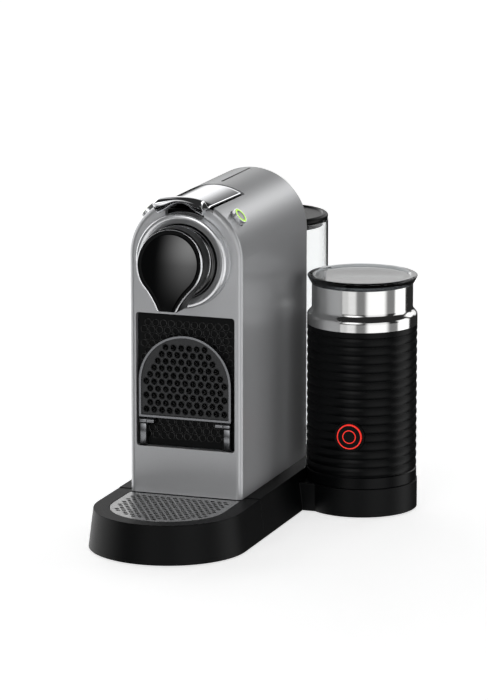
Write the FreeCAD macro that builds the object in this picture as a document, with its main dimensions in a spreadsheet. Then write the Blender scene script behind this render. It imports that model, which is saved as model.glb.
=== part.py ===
import FreeCAD, Part
import math
import os
import types
import Sketcher
from FreeCAD import Placement, Rotation, Vector

# Pod coffee machine with a milk frother on a side platform. Working frame, in millimetres: the
# machine's middle plane is x = 0, the flat front of the casing y = 0 with +y to the back, the worktop z = 0.
SIZES = {
    # casing: an arch-topped sleeve behind a front fascia
    "body_width": 96.2,
    "body_top": 278.0,
    "body_depth": 164.0,
    "casing_wall": 2.5,
    "fascia_depth": 6.0,
    "fascia_round": 4.5,
    "panel_thick": 3.0,
    "panel_inset": 3.0,
    "ridge_gap": 16.0,
    "ridge_setback": 11.0,
    "ridge_width": 0.9,
    "ridge_deep": 0.8,
    "ridge_hook": 4.0,
    # base, drip tray and frother platform
    "foot_height": 1.5,
    "foot_radius": 7.0,
    "foot_inset": 19.5,
    "foot_setback": 18.0,
    "base_width": 130.0,
    "base_top": 33.5,
    "base_draft": 4.0,
    "base_wall": 3.0,
    "base_side_wall": 6.0,
    "tray_reach": 38.0,
    "tray_floor": 2.3,
    "seam_y": 9.0,
    "cover_thick": 2.4,
    "platform_setback": 22.2,
    "platform_rim": 0.7,
    "platform_top": 25.0,
    "neck_half": 36.8,
    "screw_radius": 1.5,
    "screw_head": 3.0,
    "screw_length": 14.0,
    "screw_front": 61.0,
    "screw_rear": 35.0,
    "boss_radius": 5.5,
    "boss_bite": 0.9,
    "grid_margin": 13.5,
    "grid_rim": 3.0,
    "grid_thick": 2.2,
    "grid_pitch": 5.4,
    "grid_hole": 3.7,
    "basin_lip": 2.5,
    # capsule drawer with its fold-up cup support
    "window_edge": 5.8,
    "window_drop": 7.3,
    "window_tall": 110.6,
    "window_corner": 2.5,
    "drawer_recess": 4.4,
    "drawer_plate": 3.0,
    "drawer_setback": 6.0,
    "drawer_wall": 2.2,
    "drawer_inset": 3.8,
    "drawer_drop": 7.0,
    "comb_pitch": 6.7,
    "comb_hole": 4.9,
    "comb_deep": 1.2,
    "comb_margin": 3.2,
    "cup_inset": 2.8,
    "cup_drop": 56.5,
    "cup_margin": 1.2,
    "cup_thick": 2.0,
    "cup_rim_width": 1.8,
    "cup_rim_depth": 5.0,
    "hinge_rise": 21.1,
    "hinge_y": 0.7,
    "hinge_radius": 3.0,
    "hinge_pin": 1.5,
    "hinge_inset": 3.3,
    "hinge_post": 6.0,
    "hinge_eye": 6.5,
    # brew head and spout
    "brew_drop": 1.2,
    "ring_edge": 9.7,
    "ring_proud": 10.5,
    "ring_band": 8.0,
    "ring_flare": 0.8,
    "ring_round": 1.2,
    "ring_spigot": 1.6,
    "disc_front": 14.0,
    "disc_edge": 4.0,
    "spout_radius": 28.15,
    "spout_rise": 2.3,
    "spout_tip_half": 8.0,
    "spout_drop": 35.4,
    "spout_turn": 44.0,
    "spout_front": 37.0,
    "spout_lean": 9.4,
    "spout_trim": 1.9,
    "trim_depth": 3.0,
    "face_dome": 170.0,
    "nozzle_radius": 4.6,
    "nozzle_bore": 2.4,
    "nozzle_length": 12.0,
    # lever and brew unit
    "lever_rear": 72.0,
    "lever_half_rear": 22.75,
    "lever_half_front": 22.0,
    "lever_thick": 1.8,
    "lever_slit": 2.0,
    "lever_rear_slit": 3.2,
    "lever_lip_y": 15.5,
    "lip_rise": 3.4,
    "lip_nose": 3.3,
    "lip_plan_radius": 24.5,
    "lip_crown": 35.0,
    "lip_dip": 0.5,
    "lever_sweep": 62.0,
    "pivot_inset": 2.0,
    "pivot_drop": 5.0,
    "knuckle_radius": 2.2,
    "knuckle_half": 3.2,
    "lug_outer": 7.5,
    "pivot_pin": 1.1,
    "liner_thick": 1.6,
    "liner_sweep": 36.0,
    "bracket_foot": 4.0,
    "notch_half": 16.5,
    "notch_drop": 21.0,
    "slot_half": 16.5,
    "slot_front": 12.0,
    "slot_rear": 48.0,
    "slot_wall": 2.5,
    "slot_drop": 10.0,
    "chamber_half": 24.0,
    "chamber_wall": 3.0,
    "chamber_front": 8.0,
    "chamber_overhang": 8.0,
    "chamber_fall": 23.7,
    "chamber_rise": 17.3,
    "cage_radius": 16.5,
    "cage_bore": 13.5,
    "cage_front": 34.0,
    "cage_length": 32.0,
    "cage_floor": 6.0,
    "plate_radius": 15.0,
    "plate_thick": 3.0,
    "blade_length": 5.0,
    "blade_ring": 7.0,
    "blade_radius": 1.6,
    # cup-size buttons on the shoulders
    "button_y": 22.0,
    "button_angle": 40.0,
    "button_radius": 7.0,
    "button_proud": 4.3,
    "button_stem": 8.0,
    "button_travel": 1.5,
    "button_light": 6.15,
    "button_light_width": 0.9,
    "light_proud": 0.25,
    "switch_radius": 5.0,
    "switch_length": 9.2,
    # water tank
    "tank_gap": 14.0,
    "tank_setback": 18.0,
    "tank_radius": 45.0,
    "tank_wall": 2.2,
    "tank_floor": 2.5,
    "tank_top": 222.0,
    "lid_tall": 7.5,
    "lid_dish": 2.4,
    "lid_rim": 4.2,
    "lid_skirt": 9.0,
    "lid_skirt_wall": 2.0,
    "lid_skirt_gap": 1.1,
    "valve_radius": 6.5,
    "valve_flange": 10.0,
    "valve_height": 9.0,
    "coupling_radius": 12.0,
    "coupling_height": 11.0,
    "seal_wire": 1.1,
    # frother, built about its own upright axis
    "frother_turn": 5.0,
    "frother_radius": 45.8,
    "grip_wall": 2.2,
    "grip_drop": 33.0,
    "rib_drop": 5.5,
    "rib_pitch": 7.28,
    "rib_deep": 0.85,
    "neck_step": 3.8,
    "neck_drop": 19.0,
    "shoulder_drop": 26.0,
    "collar_top": 190.0,
    "collar_wall": 1.4,
    "jug_gap": 2.6,
    "jug_wall": 1.2,
    "jug_rise": 37.0,
    "jug_pin": 2.4,
    "jug_pin_height": 12.0,
    "foot_cap": 12.0,
    "heater_thick": 5.0,
    "heater_inner": 20.0,
    "heater_inset": 3.4,
    "motor_radius": 14.0,
    "motor_height": 14.0,
    "shaft_radius": 1.5,
    "rotor_radius": 17.0,
    "rotor_thick": 6.0,
    "rotor_gap": 1.2,
    "whisk_hub": 4.2,
    "whisk_ring": 14.0,
    "whisk_wire": 1.6,
    "whisk_cap": 4.0,
    "dock_radius": 11.0,
    "dock_height": 9.0,
    "frother_gap": 10.4,
    "frother_lid_rise": 8.0,
    "frother_lid_thick": 2.0,
    "frother_lid_skirt": 10.0,
    "frother_lid_dish": 2.6,
    "press_rise": 44.5,
    "press_proud": 0.4,
    "press_radius": 9.4,
    "press_ring": 10.6,
    "press_bezel": 12.7,
    "press_depth": 5.0,
    "bezel_depth": 5.5,
    # water system inside the casing
    "chassis_thick": 4.0,
    "chassis_gap": 1.6,
    "chassis_setback": 60.0,
    "shelf_thick": 5.0,
    "floor_thick": 3.0,
    "pump_radius": 14.0,
    "pump_gap": 4.0,
    "pump_inset": 12.5,
    "mount_wide": 6.0,
    "mount_tall": 4.0,
    "meter_radius": 8.5,
    "meter_height": 20.0,
    "block_inset": 10.5,
    "block_depth": 36.0,
    "block_rise": 62.5,
    "block_drop": 56.7,
    "board_half": 36.0,
    "board_rise": 26.5,
    "board_tall": 90.0,
    "board_thick": 1.6,
    "spacer_length": 5.0,
    "spacer_radius": 3.0,
    "hose_radius": 3.0,
    "hose_bend": 6.0,
    "riser_gap": 4.1,
    "gland_x": 34.0,
    "gland_z": 14.0,
    "gland_radius": 6.5,
    "gland_bore": 3.6,
    "gland_length": 16.0,
    # clearances
    "slide_gap": 0.4,
    "fit_gap": 0.25,
    "pin_gap": 0.05,
}


class Size:
    """A number that remembers the sheet formula behind it."""

    def __init__(self, value, formula):
        self.value = float(value)
        self.formula = formula

    def __add__(self, other):
        other = as_size(other)
        return Size(self.value + other.value, f"({self.formula} + {other.formula})")

    def __sub__(self, other):
        other = as_size(other)
        return Size(self.value - other.value, f"({self.formula} - {other.formula})")

    def __mul__(self, other):
        other = as_size(other)
        return Size(self.value * other.value, f"({self.formula} * {other.formula})")

    def __truediv__(self, other):
        other = as_size(other)
        return Size(self.value / other.value, f"({self.formula} / {other.formula})")

    def __radd__(self, other):
        return as_size(other) + self

    def __rsub__(self, other):
        return as_size(other) - self

    def __rmul__(self, other):
        return as_size(other) * self

    def __neg__(self):
        return as_size(-1) * self


def as_size(number):
    """Wraps a plain number, so that it can join a formula."""
    return number if isinstance(number, Size) else Size(number, f"({float(number)!r})")


def root(size):
    return Size(math.sqrt(size.value), f"sqrt({size.formula})")


def cosine(angle):
    return Size(math.cos(math.radians(angle.value)), f"cos({angle.formula})")


def sine(angle):
    return Size(math.sin(math.radians(angle.value)), f"sin({angle.formula})")


def slope(rise, run):
    """Angle in degrees of a rise over a run."""
    tangent = rise / run
    return Size(math.degrees(math.atan(tangent.value)), f"(atan({tangent.formula}) / 1 deg)")


doc = FreeCAD.newDocument("PodCoffeeMachine")
sheet = doc.addObject("Spreadsheet::Sheet", "Sizes")
for row, (alias, number) in enumerate(SIZES.items(), 1):
    sheet.set(f"A{row}", alias)
    sheet.set(f"B{row}", str(number))
    sheet.setAlias(f"B{row}", alias)
doc.recompute()
s = types.SimpleNamespace(**{alias: Size(number, f"Sizes.{alias}") for alias, number in SIZES.items()})

# places and sizes that follow from the sheet's and that several pieces share
arch_radius = s.body_width / 2
arch_z = s.body_top - arch_radius
base_half = s.base_width / 2
base_tall = s.base_top - s.foot_height
hollow_half = base_half - s.base_draft - s.base_side_wall
deck_low = s.base_top - s.base_wall
cover_top = s.foot_height + s.cover_thick
sleeve_inner = arch_radius - s.casing_wall
tank_y = s.body_depth + s.tank_gap + s.tank_radius
base_rear = tank_y - s.tank_setback
platform_x = arch_radius + s.frother_gap + s.frother_radius
platform_y = s.body_depth - s.platform_setback
platform_radius = s.frother_radius + s.platform_rim
grid_radius = base_half - s.base_draft - s.grid_margin
brew_z = arch_z - s.brew_drop
ring_radius = arch_radius - s.ring_edge
ring_bore = ring_radius - s.ring_band
spout_z = brew_z + s.spout_rise
spout_tip_z = brew_z - s.spout_drop
window_half = arch_radius - s.window_edge
window_high = brew_z - ring_radius - s.window_drop
window_low = window_high - s.window_tall
cup_radius = window_half - s.cup_inset
cup_z = window_high - s.cup_drop
hinge_z = window_low + s.hinge_rise
hinge_split = window_half - s.hinge_inset - s.hinge_post
hinge_inner = hinge_split - s.hinge_eye
pivot_y = s.lever_rear - s.pivot_inset
pivot_z = s.body_top - s.pivot_drop
chamber_top = brew_z + s.chamber_rise
chamber_low = brew_z - s.chamber_fall
slot_top = s.body_top - s.slot_drop
chassis_y = s.body_depth - s.chassis_setback
chamber_rear = chassis_y + s.chamber_overhang
panel_front = s.body_depth - s.panel_inset - s.panel_thick
board_low = s.base_top + s.board_rise
board_high = board_low + s.board_tall
riser_x = sleeve_inner - s.hose_radius - s.riser_gap
pump_y = chassis_y + s.chassis_thick + s.pump_radius + s.pump_gap
lid_top = s.tank_top + s.lid_tall
grip_top = s.collar_top - s.grip_drop
rib_first = grip_top - s.rib_drop
neck_radius = s.frother_radius - s.neck_step
jug_radius = neck_radius - s.jug_gap
jug_floor = s.platform_top + s.jug_rise
press_z = s.platform_top + s.press_rise
x_left = -base_half
x_right = platform_x + platform_radius
y_front = -s.tray_reach - base_half
y_back = base_rear + base_half
middle_x = (x_left + x_right) / 2
middle_y = (y_front + y_back) / 2
nodes = []
own_base = {}


def bind(item, prop, size):
    """Ties one property of an object to the sheet."""
    item.setExpression(prop, as_size(size).formula)


def node(item, label, x=0.0, y=0.0, z=0.0, turn=None):
    """Names a finished sub-part and places its own frame in the row's frame."""
    item.Label = label
    own_x, own_y, own_z = own_base.get(item.Name, (0.0, 0.0, 0.0))
    bind(item, "Placement.Base.x", as_size(x) + own_x - middle_x)
    bind(item, "Placement.Base.y", as_size(y) + own_y - middle_y)
    bind(item, "Placement.Base.z", as_size(z) + own_z)
    if turn is not None:
        item.Placement = Placement(item.Placement.Base, Rotation(Vector(0, 0, 1), turn.value))
        bind(item, "Placement.Rotation.Angle", turn)
    nodes.append(item)
    return item


def set_base(item, x, y, z):
    """Places a primitive and remembers where, for a primitive that is a node by itself."""
    own_base[item.Name] = (x, y, z)
    for axis, size in zip("xyz", (x, y, z)):
        bind(item, f"Placement.Base.{axis}", size)


def block(name, x, y, z):
    """A box between two sizes on each axis."""
    item = doc.addObject("Part::Box", name)
    for prop, (low, high) in zip(("Length", "Width", "Height"), (x, y, z)):
        bind(item, prop, as_size(high) - low)
    set_base(item, x[0], y[0], z[0])
    return item


TURNS = {"x": Rotation(Vector(0, 1, 0), 90), "y": Rotation(Vector(1, 0, 0), -90), "z": Rotation()}


def rod(name, axis, centre, radius, low, high):
    """A cylinder along an axis, its centre given on the other two axes in x, y, z order."""
    item = doc.addObject("Part::Cylinder", name)
    bind(item, "Radius", radius)
    bind(item, "Height", as_size(high) - low)
    item.Placement = Placement(Vector(), TURNS[axis])
    base = list(centre)
    base.insert("xyz".index(axis), low)
    set_base(item, *base)
    return item


def fuse(name, *items):
    item = doc.addObject("Part::MultiFuse", name)
    item.Shapes = list(items)
    return item


def common(name, *items):
    item = doc.addObject("Part::MultiCommon", name)
    item.Shapes = list(items)
    return item


def cut(name, base, *tools):
    item = doc.addObject("Part::Cut", name)
    item.Base = base
    item.Tool = tools[0] if len(tools) == 1 else fuse(name + "_tools", *tools)
    return item


def span(side, near, far):
    """Low and high ends of a stretch on one side of the middle plane: side 1 is right, -1 left."""
    return (near, far) if side > 0 else (-far, -near)


def tube(name, axis, centre, radius, bore, low, high):
    outer = rod(name + "_outer", axis, centre, radius, low, high)
    inner = rod(name + "_inner", axis, centre, bore, low, high)
    return cut(name, outer, inner)


def sketch_on(body, role, at=0.0):
    """A sketch on one of a body's own origin planes, moved along that plane's positive axis."""
    sketch = body.newObject("Sketcher::SketchObject", body.Name + "_sketch")
    plane = [feature for feature in body.Origin.OriginFeatures if feature.Role == role][0]
    sketch.AttachmentSupport = [(plane, "")]
    sketch.MapMode = "FlatFace"
    sign = -1 if role == "XZ_Plane" else 1
    bind(sketch, "AttachmentOffset.Base.z", sign * as_size(at))
    return sketch


def pin_point(sketch, edge, end, x=None, y=None):
    """Ties a sketch point's distances from the origin to the sheet."""
    for kind, size in (("DistanceX", x), ("DistanceY", y)):
        if size is not None:
            size = as_size(size)
            rule = sketch.addConstraint(Sketcher.Constraint(kind, -1, 1, edge, end, size.value))
            sketch.setExpression(f"Constraints[{rule}]", size.formula)


def outline(sketch, *steps):
    """Draws a closed outline: steps are (x, y) for a line to that point, or (x, y, cx, cy, way) for an
    arc about a centre, way 1 for anticlockwise. The first step is the start, and arcs leave one of
    their end's two distances to the circle."""
    steps = [tuple(as_size(value) for value in step[:4]) + step[4:] for step in steps]
    points = [Vector(step[0].value, step[1].value, 0) for step in steps]
    edges = []
    for index in range(len(steps)):
        target = (index + 1) % len(steps)
        first, last, step = points[index], points[target], steps[target]
        if len(step) == 2:
            edges.append((sketch.addGeometry(Part.LineSegment(first, last)), 1, 2))
            continue
        centre = Vector(step[2].value, step[3].value, 0)
        begin, finish = (first, last) if step[4] > 0 else (last, first)
        a0 = math.atan2(begin.y - centre.y, begin.x - centre.x)
        a1 = math.atan2(finish.y - centre.y, finish.x - centre.x)
        circle = Part.Circle(centre, Vector(0, 0, 1), (begin - centre).Length)
        edge = sketch.addGeometry(Part.ArcOfCircle(circle, a0, a1 if a1 > a0 else a1 + 2 * math.pi))
        edges.append((edge, 1, 2) if step[4] > 0 else (edge, 2, 1))
    for index, (edge, _, tail) in enumerate(edges):
        after, head, _ = edges[(index + 1) % len(edges)]
        sketch.addConstraint(Sketcher.Constraint("Coincident", edge, tail, after, head))
    for index, (edge, head, tail) in enumerate(edges):
        target = (index + 1) % len(steps)
        step = steps[target]
        if len(step) == 2:
            pin_point(sketch, edge, tail, step[0], step[1])
            continue
        pin_point(sketch, edge, 3, step[2], step[3])
        reach = points[target] - Vector(step[2].value, step[3].value, 0)
        if abs(reach.y) > abs(reach.x):
            pin_point(sketch, edge, tail, x=step[0])
        else:
            pin_point(sketch, edge, tail, y=step[1])


def new_body(name):
    return doc.addObject("PartDesign::Body", name)


def pad(name, role, at, length, *steps, taper=None):
    """A body padded from an outline, towards the plane's positive axis."""
    body = new_body(name)
    sketch = sketch_on(body, role, at)
    outline(sketch, *steps)
    feature = body.newObject("PartDesign::Pad", name + "_pad")
    feature.Profile = sketch
    feature.Reversed = role == "XZ_Plane"
    bind(feature, "Length", length)
    if taper is not None:
        bind(feature, "TaperAngle", -taper)
    return body


def revolve(name, role, axis, *steps, angle=None):
    """A body turned from an outline about one of the sketch's own axes."""
    body = new_body(name)
    sketch = sketch_on(body, role)
    outline(sketch, *steps)
    feature = body.newObject("PartDesign::Revolution", name + "_turn")
    feature.Profile = sketch
    feature.ReferenceAxis = (sketch, [axis])
    if angle is not None:
        feature.Midplane = True
        bind(feature, "Angle", angle)
    return body


def turned(name, *steps):
    """A piece turned about its own upright axis from (radius, height) steps."""
    return revolve(name, "XZ_Plane", "V_Axis", *steps)


def rounded(x, y, corner):
    """Steps of a rectangle with rounded corners."""
    (x0, x1), (y0, y1) = x, y
    return (
        (x0 + corner, y0),
        (x1 - corner, y0),
        (x1, y0 + corner, x1 - corner, y0 + corner, 1),
        (x1, y1 - corner),
        (x1 - corner, y1, x1 - corner, y1 - corner, 1),
        (x0 + corner, y1),
        (x0, y1 - corner, x0 + corner, y1 - corner, 1),
        (x0, y0 + corner),
        (x0 + corner, y0, x0 + corner, y0 + corner, 1),
    )[1:]


def arch_steps(radius, low):
    """Steps of the casing's arch-topped outline."""
    return (
        (-radius, low),
        (radius, low),
        (radius, arch_z),
        (-radius, arch_z, 0, arch_z, 1),
    )


def half_round(radius, centre_y, end_y, side):
    """Steps of a plate with one round end: side 1 puts it towards +y, -1 towards -y."""
    if side > 0:
        return ((-radius, end_y), (radius, end_y), (radius, centre_y), (-radius, centre_y, 0, centre_y, 1))
    return ((radius, end_y), (-radius, end_y), (-radius, centre_y), (radius, centre_y, 0, centre_y, 1))


def base_foot_positions():
    """Centres of the rubber feet: four under the base and one under the platform."""
    reach = base_half - s.foot_inset
    front = s.seam_y + s.foot_setback
    outer = platform_x + platform_radius - s.foot_inset - s.foot_radius
    return (-reach, front), (reach, front), (-reach, base_rear), (reach, base_rear), (outer, platform_y)


def screw_positions():
    """Centres of the bottom cover's screws, in bosses that run into the side walls."""
    reach = hollow_half - s.boss_radius + s.boss_bite
    front, rear = s.seam_y + s.screw_front, base_rear - s.screw_rear
    return (-reach, front), (reach, front), (-reach, rear), (reach, rear)


def make_base():
    """Rear base with the frother platform and screw bosses, open underneath."""
    draft = slope(s.base_draft, base_tall)
    front = s.seam_y - 3 * s.base_draft
    outer = pad("base_outer", "XY_Plane", s.foot_height, base_tall,
                *half_round(base_half, base_rear, front, 1), taper=draft)
    platform = rod("platform_disc", "z", (platform_x, platform_y), platform_radius,
                   s.foot_height, s.platform_top)
    neck_y = (platform_y - s.neck_half, platform_y + s.neck_half)
    neck = block("platform_neck", (hollow_half, platform_x), neck_y, (s.foot_height, s.platform_top))
    bosses = [rod(f"boss_{index}", "z", place, s.boss_radius, cover_top, s.base_top)
              for index, place in enumerate(screw_positions())]
    seam = block("base_seam", (x_left, base_half), (front, s.seam_y), (0, s.base_top + 1))
    hollow = block("base_hollow", (-hollow_half, hollow_half), (s.seam_y + s.base_wall, base_rear),
                   (0, deck_low))
    hollow_end = rod("base_hollow_end", "z", (0, base_rear), hollow_half, 0, deck_low)
    platform_roof = s.platform_top - s.base_wall
    under = rod("platform_hollow", "z", (platform_x, platform_y), platform_radius - s.base_wall,
                0, platform_roof)
    passage = block("neck_hollow", (hollow_half - 1, platform_x),
                    (neck_y[0] + s.base_wall, neck_y[1] - s.base_wall), (0, platform_roof))
    hatch = block("hose_hatch", (-riser_x - s.hose_bend, -riser_x + s.hose_bend),
                  (pump_y - s.hose_bend, pump_y + s.hose_bend), (deck_low - 1, s.base_top + 1))
    port = rod("coupling_port", "z", (0, tank_y), s.coupling_radius + s.fit_gap, deck_low - 1, s.base_top + 1)
    plug = rod("dock_port", "z", (platform_x, platform_y), s.dock_radius * 0.6, platform_roof - 1,
               s.platform_top + 1)
    scallop = rod("frother_scallop", "z", (platform_x, platform_y), platform_radius,
                  s.platform_top, s.base_top + 1)
    gland = rod("gland_port", "y", (s.gland_x, s.gland_z), s.gland_radius + s.fit_gap, base_rear, y_back)
    shell = cut("base_walls", fuse("base_mass", outer, platform, neck), seam, hollow, hollow_end,
                under, passage, hatch, port, plug, scallop, gland)
    bores = [rod(f"boss_bore_{index}", "z", place, s.screw_radius + s.fit_gap, 0,
                 cover_top + s.screw_length) for index, place in enumerate(screw_positions())]
    node(cut("base_shell", fuse("base_bossed", shell, *bosses), *bores), "base_frame")


def make_base_cover():
    """Bottom cover with its screws and the rubber feet under it."""
    edge = hollow_half - s.fit_gap
    rise = (s.foot_height, cover_top)
    sheet_part = block("cover_sheet", (-edge, edge), (s.seam_y + s.base_wall + s.fit_gap, base_rear), rise)
    end = rod("cover_end", "z", (0, base_rear), edge, *rise)
    disc = rod("cover_disc", "z", (platform_x, platform_y),
               platform_radius - s.base_wall - s.fit_gap, *rise)
    neck = s.neck_half - s.base_wall - s.fit_gap
    link = block("cover_link", (edge - 1, platform_x), (platform_y - neck, platform_y + neck), rise)
    places = screw_positions()
    sink = s.foot_height + s.cover_thick / 2
    holes = [rod(f"cover_hole_{index}", "z", place, s.screw_radius + s.fit_gap, 0, cover_top + 1)
             for index, place in enumerate(places)]
    sinks = [rod(f"cover_sink_{index}", "z", place, s.screw_head + s.fit_gap, 0, sink)
             for index, place in enumerate(places)]
    node(cut("base_cover", fuse("cover_mass", sheet_part, end, disc, link), *holes, *sinks), "base_cover")
    heads = [rod(f"screw_head_{index}", "z", place, s.screw_head, s.foot_height, sink)
             for index, place in enumerate(places)]
    shanks = [rod(f"screw_shank_{index}", "z", place, s.screw_radius, sink, sink + s.screw_length)
              for index, place in enumerate(places)]
    node(fuse("base_screws", *heads, *shanks), "base_screws")
    feet = [rod(f"foot_{index}", "z", place, s.foot_radius, 0, s.foot_height)
            for index, place in enumerate(base_foot_positions())]
    node(fuse("rubber_feet", *feet), "rubber_feet")


def lever_plan(extra, rear):
    """Half outline of the lever's tapered plan: half width at the front line and at its rear edge."""
    return s.lever_half_front + extra, s.lever_half_rear + extra, rear


def radial_rod(name, radius, low, high, side):
    """A cylinder that points out of the arch at a button's angle: side 1 is right, -1 left."""
    item = doc.addObject("Part::Cylinder", name)
    bind(item, "Radius", radius)
    bind(item, "Height", as_size(high) - low)
    tilt = 90 - s.button_angle
    item.Placement = Placement(Vector(), Rotation(Vector(0, side, 0), tilt.value))
    bind(item, "Placement.Rotation.Angle", tilt)
    set_base(item, side * cosine(s.button_angle) * low, s.button_y, arch_z + sine(s.button_angle) * low)
    return item


def make_casing():
    """Arch-topped sleeve, front fascia and rear panel."""
    sleeve = pad("sleeve_mass", "XZ_Plane", s.fascia_depth, s.body_depth - s.fascia_depth,
                 *arch_steps(arch_radius, s.base_top))
    bore = pad("sleeve_bore", "XZ_Plane", 0, s.body_depth + 1, *arch_steps(sleeve_inner, s.base_top - 1))
    front, rear, end = lever_plan(s.lever_slit, s.lever_rear + s.lever_rear_slit)
    slot = pad("lever_slot", "XY_Plane", arch_z + arch_radius / 2, arch_radius,
               (-front, -1), (front, -1), (rear, end), (-rear, end))
    low, high = arch_radius / 2, arch_radius * 2
    eyes = [radial_rod(f"button_eye_{side + 1}", s.button_radius + s.slide_gap, low, high, side)
            for side in (-1, 1)]
    ridge_end = s.body_depth - s.ridge_setback
    ridge_z = (s.body_top - s.ridge_deep, s.body_top + 1)
    groove = block("ridge_groove", (-s.ridge_width / 2, s.ridge_width / 2),
                   (s.lever_rear + s.ridge_gap, ridge_end), ridge_z)
    hook = block("ridge_hook_cut", (0, s.ridge_hook), (ridge_end - s.ridge_width, ridge_end), ridge_z)
    node(cut("body_sleeve", sleeve, bore, slot, *eyes, groove, hook), "body_sleeve")

    face = pad("fascia_mass", "XZ_Plane", 0, s.fascia_depth, *arch_steps(arch_radius, s.base_top))
    doc.recompute()
    edges = [f"Edge{index}" for index, edge in enumerate(face.Shape.Edges, 1)
             if abs(edge.BoundBox.YMax) < 1e-6 and edge.BoundBox.ZMax > s.base_top.value + 1]
    flat = face.Tip
    soft = face.newObject("PartDesign::Fillet", "fascia_fillet")
    soft.Base = (flat, edges)
    bind(soft, "Radius", s.fascia_round)
    window = pad("fascia_window", "XZ_Plane", -1, s.fascia_depth + 2,
                 *rounded((-window_half, window_half), (window_low, window_high), s.window_corner))
    eye = rod("brew_eye", "y", (0, brew_z), ring_bore + s.ring_spigot + s.fit_gap, -1, s.fascia_depth + 1)
    notch = block("lever_notch", (-s.notch_half, s.notch_half), (-1, s.fascia_depth + 1),
                  (s.body_top - s.notch_drop, s.body_top + 1))
    lever_path = pad("lever_path", "XY_Plane", arch_z + arch_radius / 2, arch_radius,
                     (-front, -1), (front, -1), (front, s.fascia_depth + 1), (-front, s.fascia_depth + 1))
    shade = rod("lever_shade", "y", (0, arch_z), arch_radius - s.lever_thick - s.liner_thick, -2,
                s.fascia_depth + 2)
    node(cut("front_fascia", face, window, eye, notch, cut("lever_relief", lever_path, shade)), "front_fascia")

    panel = pad("rear_sheet", "XZ_Plane", panel_front, s.panel_thick,
                *arch_steps(sleeve_inner - s.fit_gap, s.base_top))
    inset = s.spacer_radius * 2
    corners = [(x, z) for x in (-s.board_half + inset, s.board_half - inset)
               for z in (board_low + inset, board_high - inset)]
    spacers = [rod(f"spacer_{index}", "y", place, s.spacer_radius, panel_front - s.spacer_length, panel_front)
               for index, place in enumerate(corners)]
    node(fuse("rear_panel", panel, *spacers), "rear_panel")


def make_tray():
    """Drip tray that makes the front of the base, and the perforated grid that lies in it."""
    top = s.base_top - s.slide_gap
    draft = slope(s.base_draft, base_tall)
    behind = s.seam_y + 3 * s.base_draft
    mass = pad("tray_mass", "XY_Plane", s.foot_height, top - s.foot_height,
               *half_round(base_half, -s.tray_reach, behind, -1), taper=draft)
    seam = block("tray_seam", (x_left, base_half), (s.seam_y - s.slide_gap, behind + 1), (0, s.base_top))
    grid_end = -s.slide_gap * 4
    seat = pad("grid_seat", "XY_Plane", top - s.grid_thick, s.grid_thick + 1,
               *half_round(grid_radius + s.slide_gap, -s.tray_reach, grid_end + s.slide_gap, -1))
    basin_low = s.foot_height + s.tray_floor
    basin = pad("tray_basin", "XY_Plane", basin_low, base_tall,
                *half_round(grid_radius - s.basin_lip, -s.tray_reach, grid_end - s.basin_lip, -1))
    node(cut("drip_tray", mass, seam, seat, basin), "drip_tray")

    margin = s.grid_rim.value + s.grid_hole.value / 2
    reach = grid_radius.value - margin
    end_v = (grid_end + s.tray_reach).value
    cells = honeycomb(lambda u, v: (math.hypot(u, v) if v < 0 else abs(u)) < reach and v < end_v - margin,
                      s.grid_hole.value, s.grid_pitch.value, Vector(0, 0, 1))
    flat = half_round_wire(grid_radius.value, end_v)
    plate = Part.Face([flat] + cells).extrude(Vector(0, 0, s.grid_thick.value))
    node(solid_feature("drip_grid", plate), "drip_grid", y=-s.tray_reach, z=top - s.grid_thick)


def hexagon(centre, across, normal):
    """Closed six-sided wire of a given width across flats."""
    ring = across / math.sqrt(3)
    side = Vector(1, 0, 0)
    up = normal.cross(side)
    turns = [math.radians(30 + 60 * step) for step in range(7)]
    return Part.makePolygon([centre + side * (ring * math.cos(a)) + up * (ring * math.sin(a)) for a in turns])


def half_round_wire(radius, end_y):
    """Closed wire in the XY plane, round about the origin towards -y and square at end_y."""
    left, right = Vector(-radius, 0, 0), Vector(radius, 0, 0)
    corner_left, corner_right = Vector(-radius, end_y, 0), Vector(radius, end_y, 0)
    arc = Part.Arc(right, Vector(0, -radius, 0), left).toShape()
    lines = [Part.makeLine(left, corner_left), Part.makeLine(corner_left, corner_right),
             Part.makeLine(corner_right, right)]
    return Part.Wire([arc] + lines)


def solid_feature(name, shape):
    """A document object for a shape that neither sketches nor primitives make."""
    item = doc.addObject("Part::Feature", name)
    item.Shape = shape
    return item


def honeycomb(inside, across, pitch, normal):
    """Hexagon wires of a honeycomb about the origin, kept where inside(u, v) says so."""
    side = Vector(1, 0, 0)
    up = normal.cross(side)
    wires = []
    step = pitch * math.sqrt(0.75)
    for row in range(-24, 25):
        for column in range(-24, 25):
            u, v = (column + (row % 2) / 2) * pitch, row * step
            if inside(u, v):
                wires.append(hexagon(side * u + up * v, across, normal))
    return wires


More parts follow.
